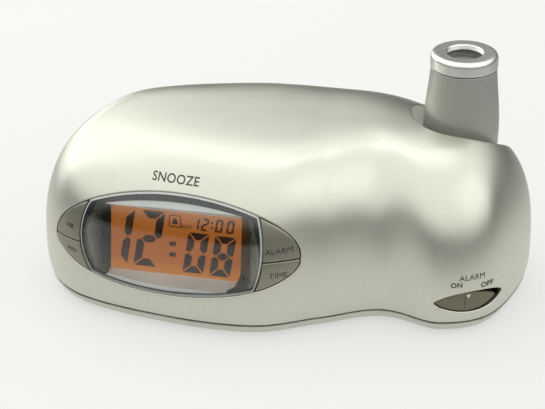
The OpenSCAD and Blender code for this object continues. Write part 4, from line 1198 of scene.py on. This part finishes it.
crown_pane = Pane((0, 0, 0), (1, 0, 0), (0, 0, 1), (3.3, 0.6))
for name, words, place, height, body, weight, wide in (
    ("label_snooze", "SNOOZE", on_pane(crown_pane, -29.6, 50.0, 0, 0.6), 2.15, "housing", 0.03, 1.25),
    ("label_alarm", "ALARM", on_pane(front_pane, 5.9, 31.7, button_inset, 3), 1.75, "alarm_button", 0.0, 1.0),
    ("label_time", "TIME", on_pane(front_pane, 5.9, 23.5, button_inset, 1), 1.7, "time_button", 0.0, 1.0),
    ("label_hour", "HR", on_pane(front_pane, -65.5, 29.8, button_inset), 1.5, "hour_button", 0.04, 1.0),
    ("label_minute", "MIN", on_pane(front_pane, -64.9, 21.9, button_inset), 1.4, "minute_button", 0.0, 1.0),
    ("label_switch", "ALARM", on_pane(slot_pane, -0.5, 8.9), 1.9, "housing", 0.0, 1.0),
    ("label_on", "ON", on_pane(slot_pane, -5.8, 6.6), 1.6, "housing", 0.06, 1.0),
    ("label_off", "OFF", on_pane(slot_pane, 5.0, 5.4), 1.7, "housing", 0.06, 1.15),
):
    print_words(name, words, place, height, ink, body, "chip_black", weight, wide)
print_words("display_alarm_word", "ALM", lambda x, y, z: on_display(3.4 + x, 5.8 + y, segment_depth + z), 1.3,
            segment_dark, "housing", "display_glass")

# A white mark on the knob shows which way it stands
mark_ink = toned("White pad printing ink", "#E6E6DE", "#F2F2EC", 0.5, Roughness=0.5)
mark_x, mark_top, mark_wide, mark_tall = -1.6, 2.7, 1.5, 1.3
mark_steps = 4
mark_points, mark_faces = [], []
on_knob = on_pane(slot_pane, mark_x, mark_top, knob_inset)
for depth in (-film, film):
    for row in range(mark_steps + 1):
        for k in range(mark_steps + 1 - row):
            share = (k + row / 2) / mark_steps - 0.5
            mark_points.append(on_knob(mark_wide * share, -mark_tall * row / mark_steps, depth))
face_count = len(mark_points) // 2
row_starts = [0]
for row in range(mark_steps + 1):
    row_starts.append(row_starts[-1] + mark_steps + 1 - row)
for row in range(mark_steps):
    for k in range(mark_steps - row):
        a, b = row_starts[row] + k, row_starts[row + 1] + k
        small = [(a, b, a + 1)] + ([(a + 1, b, b + 1)] if k < mark_steps - row - 1 else [])
        mark_faces += small + [tuple(i + face_count for i in reversed(f)) for f in small]
mark_rim = [row_starts[0] + k for k in range(mark_steps + 1)]
mark_rim += [row_starts[row + 1] - 1 for row in range(1, mark_steps + 1)]
mark_rim += [row_starts[row] for row in range(mark_steps - 1, 0, -1)]
bridge(mark_faces, mark_rim, [i + face_count for i in mark_rim])
piece("knob_mark", mark_points, mark_faces, mark_ink, "alarm_slider", "switch_ivory")

# ---- Base ----
# The lower moulding of grey ABS: a shallow tray with the battery box, the spring pads and the buzzer. Its
# rim is sprayed with the case and shows as a thin band under the parting line.
def dress(material, *nodes):
    """Puts a finish on every slot of the solids that are right as they are."""
    for name in nodes:
        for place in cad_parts[name].material_slots:
            place.material = material


def moulded(name, low, high, roughness, grain_mm=0.25, bump_depth=0.02, patch_mm=14):
    """Moulded plastic: an even colour with slight flow marks, and the fine spark texture of the mould."""
    material, shader = new_material(name, Roughness=roughness)
    place = own_place(material)
    flow, grain = noise(material, place, patch_mm, 3.0), noise(material, place, grain_mm)
    colour_by(material, shader, flow, [(0.35, low), (0.65, high)])
    roughen(material, shader, grain, roughness - 0.05, roughness + 0.05)
    emboss(material, shader, grain, 0.4, bump_depth)
    return material


rim_low, rim_high, rim_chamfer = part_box("base")[0].z / MM, 4.7, 0.8
dress(moulded("Light grey ABS of the base", "#A9AAA4", "#B6B7B1", 0.55), "base")

# Painted band round the rim, up to 0.42 mm proud of the moulding so that it covers the facets of the
# waist: (height, how far in from the skin) down its profile and back up inside it
band_proud = 0.42
band_profile = [
    (rim_high + 0.02, 1.5), (rim_high + 0.02, 0.25), (rim_high - 0.1, -0.2), (rim_high - 0.35, -band_proud),
    (rim_low + rim_chamfer + 0.1, -band_proud), (rim_low + rim_chamfer - 0.15, 0.06 - band_proud),
    (rim_low + 0.15, rim_chamfer - 0.55), (rim_low - 0.02, rim_chamfer + 0.15), (rim_low - 0.02, 3.0),
    (rim_low + 0.3, 3.0), (rim_low + 1.2, 1.4), (rim_high - 0.3, 1.4)]


band_points, band_faces = [], []
band_count = 300
band_columns = [spans * k / band_count for k in range(band_count)]
band_loops = []
for z, inset in band_profile:
    band_loops.append(list(range(len(band_points), len(band_points) + len(band_columns))))
    band_points += [low_skin(t, z, inset) for t in band_columns]
for k in range(len(band_loops)):
    bridge(band_faces, band_loops[k - 1], band_loops[k])
piece("base_band", band_points, band_faces, case_paint, "base", "base_silver")

# ---- Feet and battery door ----
# Four black rubber pads are glued into round recesses. The door is grey ABS with a grip, held by two
# pips at one end and a springy tongue at the other.
dress(moulded("Black rubber of the feet", "#1D1D1C", "#262625", 0.8, 0.5, 0.05), "rubber_feet")
dress(moulded("Light grey ABS of the door", "#A6A7A1", "#B4B5AF", 0.52), "battery_door")

# ---- Batteries and contacts ----
# Two AAA cells in green shrink sleeves, with bare steel ends, between nickel plated steel plates and
# coil springs that are staked to the ends of the box.
cell_low, cell_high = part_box("cell_front")


def cell_sleeve(name):
    """Printed PVC sleeve over a steel can: glossy, with a pale ring near one end and bare metal at both."""
    material, shader = new_material(name, Roughness=0.28)
    place = own_place(material)
    along = span(material, axis(material, place, "X"), cell_low.x, cell_high.x)
    rub = calc(material, "MULTIPLY_ADD", noise(material, place, 6, 4.0), 0.012, -0.006)
    edge = calc(material, "ADD", along, rub)
    for target, stops in (
        ("Base Color", [(0.0, "#B9B9B4"), (0.025, "#3F6B4A"), (0.74, "#4A7855"), (0.76, "#D7D8D0"),
                        (0.95, "#C8C9C2"), (0.97, "#B9B9B4")]),
        ("Metallic", [(0.0, "#FFFFFF"), (0.025, "#000000"), (0.97, "#FFFFFF")]),
    ):
        bands = ramp(material, edge, stops)
        bands.node.color_ramp.interpolation = "CONSTANT"
        material.node_tree.links.new(bands, shader.inputs[target])
    return material


def plated(name, low, high, roughness, streak_mm=0.6):
    """Drawn and plated steel: bright, with fine draw lines and slight dulling."""
    material, shader = new_material(name, Metallic=1.0, Roughness=roughness)
    dull = noise(material, own_place(material), streak_mm, 3.0)
    colour_by(material, shader, dull, [(0.35, low), (0.65, high)])
    roughen(material, shader, dull, roughness - 0.06, roughness + 0.08)
    return material


dress(cell_sleeve("Printed sleeve of the cells"), "cell_front", "cell_rear")
nickel = plated("Nickel plated spring steel", "#B8B6AE", "#D0CEC6", 0.3)
dress(nickel, "contact_plates", "contact_springs", "return_springs")
zinc = plated("Zinc plated screw steel", "#A9ABAC", "#C2C4C5", 0.34, 0.4)
dress(zinc, "shoulder_screws", "board_screws", "switch_screws", "cradle_screws", "tilt_pins")

# ---- Boards, switches and buzzer ----
# Two fibreglass boards with green solder mask and copper tracks under it, moulded tact and slide
# switches, and a piezo buzzer in a black case that speaks through the slots of the base.
def circuit_board(name, mask_low, mask_high, copper):
    """Solder mask over copper: glossy green, paler where a track runs under it."""
    material, shader = new_material(name, Roughness=0.3)
    place = own_place(material)
    tracks = add(material, "ShaderNodeTexVoronoi", {"Scale": 1 / (4.5 * MM), "feature": "DISTANCE_TO_EDGE"},
                 {"Vector": place})
    mask = ramp(material, noise(material, place, 0.7), [(0.35, mask_low), (0.65, mask_high)])
    where = calc(material, "LESS_THAN", tracks.outputs["Distance"], 0.05)
    colour = add(material, "ShaderNodeMix", {"data_type": "RGBA"}, {0: where, 6: mask})
    colour.inputs[7].default_value = linear(copper)
    material.node_tree.links.new(colour.outputs[2], shader.inputs["Base Color"])
    return material


dress(circuit_board("Green solder mask", "#1E5A34", "#27663D", "#3B8A52"), "main_board", "switch_board")
dress(circuit_board("White solder mask", "#DDDDD6", "#E8E8E2", "#F2F2EC"), "led_board")
dress(moulded("Black epoxy of the chip", "#17181A", "#202124", 0.42, 0.2), "clock_chip")
dress(moulded("Black nylon of the switches", "#1B1B1C", "#272729", 0.48), "button_switches", "snooze_switch",
      "switch_nub", "buzzer")
dress(moulded("Ivory nylon plungers", "#CDBB86", "#DCCB98", 0.45), "hour_plunger", "minute_plunger",
      "alarm_plunger", "time_plunger", "snooze_plunger")
dress(plated("Tinned steel switch can", "#A5A6A4", "#BDBEBC", 0.36, 1.2), "alarm_switch")
dress(moulded("Grey conductive rubber strip", "#2C2C2D", "#48484A", 0.7, 0.3), "contact_strips")

# ---- Light guide and projector optics ----
# A cloudy acrylic slab spreads the lamp's light behind the display. In the arm, a red lamp shines
# through a condenser lens and a small liquid crystal film, and the lens throws the time at the ceiling.
dress(moulded("Milky acrylic light guide", "#E2D6B8", "#EEE3C8", 0.3, 0.4), "backlight_panel")
dress(moulded("Matt black light tunnel", "#121213", "#1B1B1D", 0.85), "light_tunnel")
dress(clear_plastic("Clear acrylic condenser", "#E6EEEE", 1.49), "condenser_lens")
dress(toned("Red tinted lamp epoxy", "#B8281E", "#D8483A", 1.5, Roughness=0.12, Transmission_Weight=0.6,
            IOR=1.5), "projection_led")
film_glass, film_shader = new_material("Liquid crystal film", Roughness=0.2)
film_rows = add(film_glass, "ShaderNodeTexWave", {"Scale": 1 / (1.2 * MM), "Distortion": 0.4},
                {"Vector": own_place(film_glass)})
colour_by(film_glass, film_shader, film_rows.outputs["Fac"], [(0.3, "#23274A"), (0.7, "#333966")])
dress(film_glass, "projection_film")

# ---- Cradle ----
# A round plate that closes the bottom of the well, with two ears that carry the pins. It is moulded in
# the grey of the arm and screwed to the case from inside.
dress(tube_paint, "projector_cradle")

# ---- Studio ----
# A plain pale table and soft light, with the camera where the clock was seen from.
def stand(name, data, target, turn, rise, distance):
    """Stands a camera or lamp off its target, by its turn round the clock from the front and its height."""
    turn, rise = math.radians(turn), math.radians(rise)
    way = Vector((math.sin(turn) * math.cos(rise), -math.cos(turn) * math.cos(rise), math.sin(rise)))
    made = bpy.data.objects.new(name, data)
    bpy.context.scene.collection.objects.link(made)
    made.location = target + way * distance
    made.rotation_euler = way.to_track_quat("Z", "Y").to_euler()
    return made


camera_turn, camera_rise, camera_distance = 13, 27.5, 0.6
camera_data = bpy.data.cameras.new("Camera")
camera = stand("Camera", camera_data, Vector((-0.002, -0.017, 0.035)), camera_turn, camera_rise,
               camera_distance)
focal_share, sensor_mm = 1824 / 545, 36
camera_data.sensor_width = sensor_mm
camera_data.lens = focal_share * sensor_mm
camera_data.clip_start, camera_data.clip_end = 0.01, 20
bpy.context.scene.camera = camera

floor_mesh = bpy.data.meshes.new("floor")
floor_size = 3.0
floor_mesh.from_pydata([(-floor_size, -floor_size, 0), (floor_size, -floor_size, 0),
                        (floor_size, floor_size, 0), (-floor_size, floor_size, 0)], [], [(0, 1, 2, 3)])
floor = bpy.data.objects.new("floor", floor_mesh)
bpy.context.scene.collection.objects.link(floor)
# The card glows a little for the eye, so that it stays pale, and for mirrors only near the clock
floor_paint, floor_shader = new_material("Pale matt card", Roughness=0.9)
floor_shader.inputs["Base Color"].default_value = linear("#8C8C8A")
floor_shader.inputs["Emission Color"].default_value = linear("#F8F8F6")
floor_glow, glow_near, glow_far = 0.58, 0.06, 0.19
rays = add(floor_paint, "ShaderNodeLightPath")
floor_round = add(floor_paint, "ShaderNodeMapping", {"Scale": (0.6, 1.0, 1.0)},
                  {"Vector": own_place(floor_paint)})
floor_out = add(floor_paint, "ShaderNodeVectorMath", {"operation": "LENGTH"},
                {0: floor_round.outputs["Vector"]})
near = span(floor_paint, floor_out.outputs["Value"], glow_near, glow_far, 1.0, 0.0)
seen = calc(floor_paint, "MULTIPLY_ADD", rays.outputs["Is Glossy Ray"], near, rays.outputs["Is Camera Ray"])
seen = calc(floor_paint, "ADD", seen, rays.outputs["Is Transmission Ray"], use_clamp=True)
floor_paint.node_tree.links.new(calc(floor_paint, "MULTIPLY", seen, floor_glow),
                                floor_shader.inputs["Emission Strength"])
floor_mesh.materials.append(floor_paint)

# The room is a light tent, bright from some way over the horizon upwards and open lower down at the back
tent_dark, tent_bright, backdrop = 0.05, 1.36, 0.93
tent_low, tent_high, tent_tilt, tent_sides = 0.22, 0.42, 0.34, 0.12
world = bpy.data.worlds.new("Studio")
world.use_nodes = True
sky = world.node_tree.nodes["Background"]
sky.inputs["Color"].default_value = linear("#F8F8F6")
way = add(world, "ShaderNodeSeparateXYZ", None,
          {"Vector": add(world, "ShaderNodeTexCoord").outputs["Generated"]})
behind, beside = calc(world, "MAXIMUM", way.outputs["Y"], 0.0), calc(world, "ABSOLUTE", way.outputs["X"])
height = calc(world, "MULTIPLY_ADD", behind, -tent_tilt, way.outputs["Z"])
height = calc(world, "MULTIPLY_ADD", beside, tent_sides, height)
tent = span(world, height, tent_low, tent_high, tent_dark, tent_bright)
eye = add(world, "ShaderNodeLightPath").outputs["Is Camera Ray"]
strength = add(world, "ShaderNodeMix", {"data_type": "FLOAT", 3: backdrop}, {0: eye, 2: tent})
world.node_tree.links.new(strength.outputs[0], sky.inputs["Strength"])
bpy.context.scene.world = world
bpy.context.scene.view_settings.view_transform = "Standard"


lamp_target, lamp_distance = Vector((-0.01, 0, 0.04)), 0.95
for name, turn, rise, width, height, power in (
    ("left", -125, 40, 1.2, 0.9, 1.9), ("left_low", -125, 10, 1.0, 0.4, 2.0),
    ("right", 72, 42, 0.7, 0.6, 0.5), ("overhead", 180, 76, 0.4, 0.4, 0.4),
):
    lamp = bpy.data.lights.new(name, "AREA")
    lamp.shape = "RECTANGLE"
    lamp.size, lamp.size_y = width, height
    lamp.energy = power
    stand(name, lamp, lamp_target, turn, rise, lamp_distance)
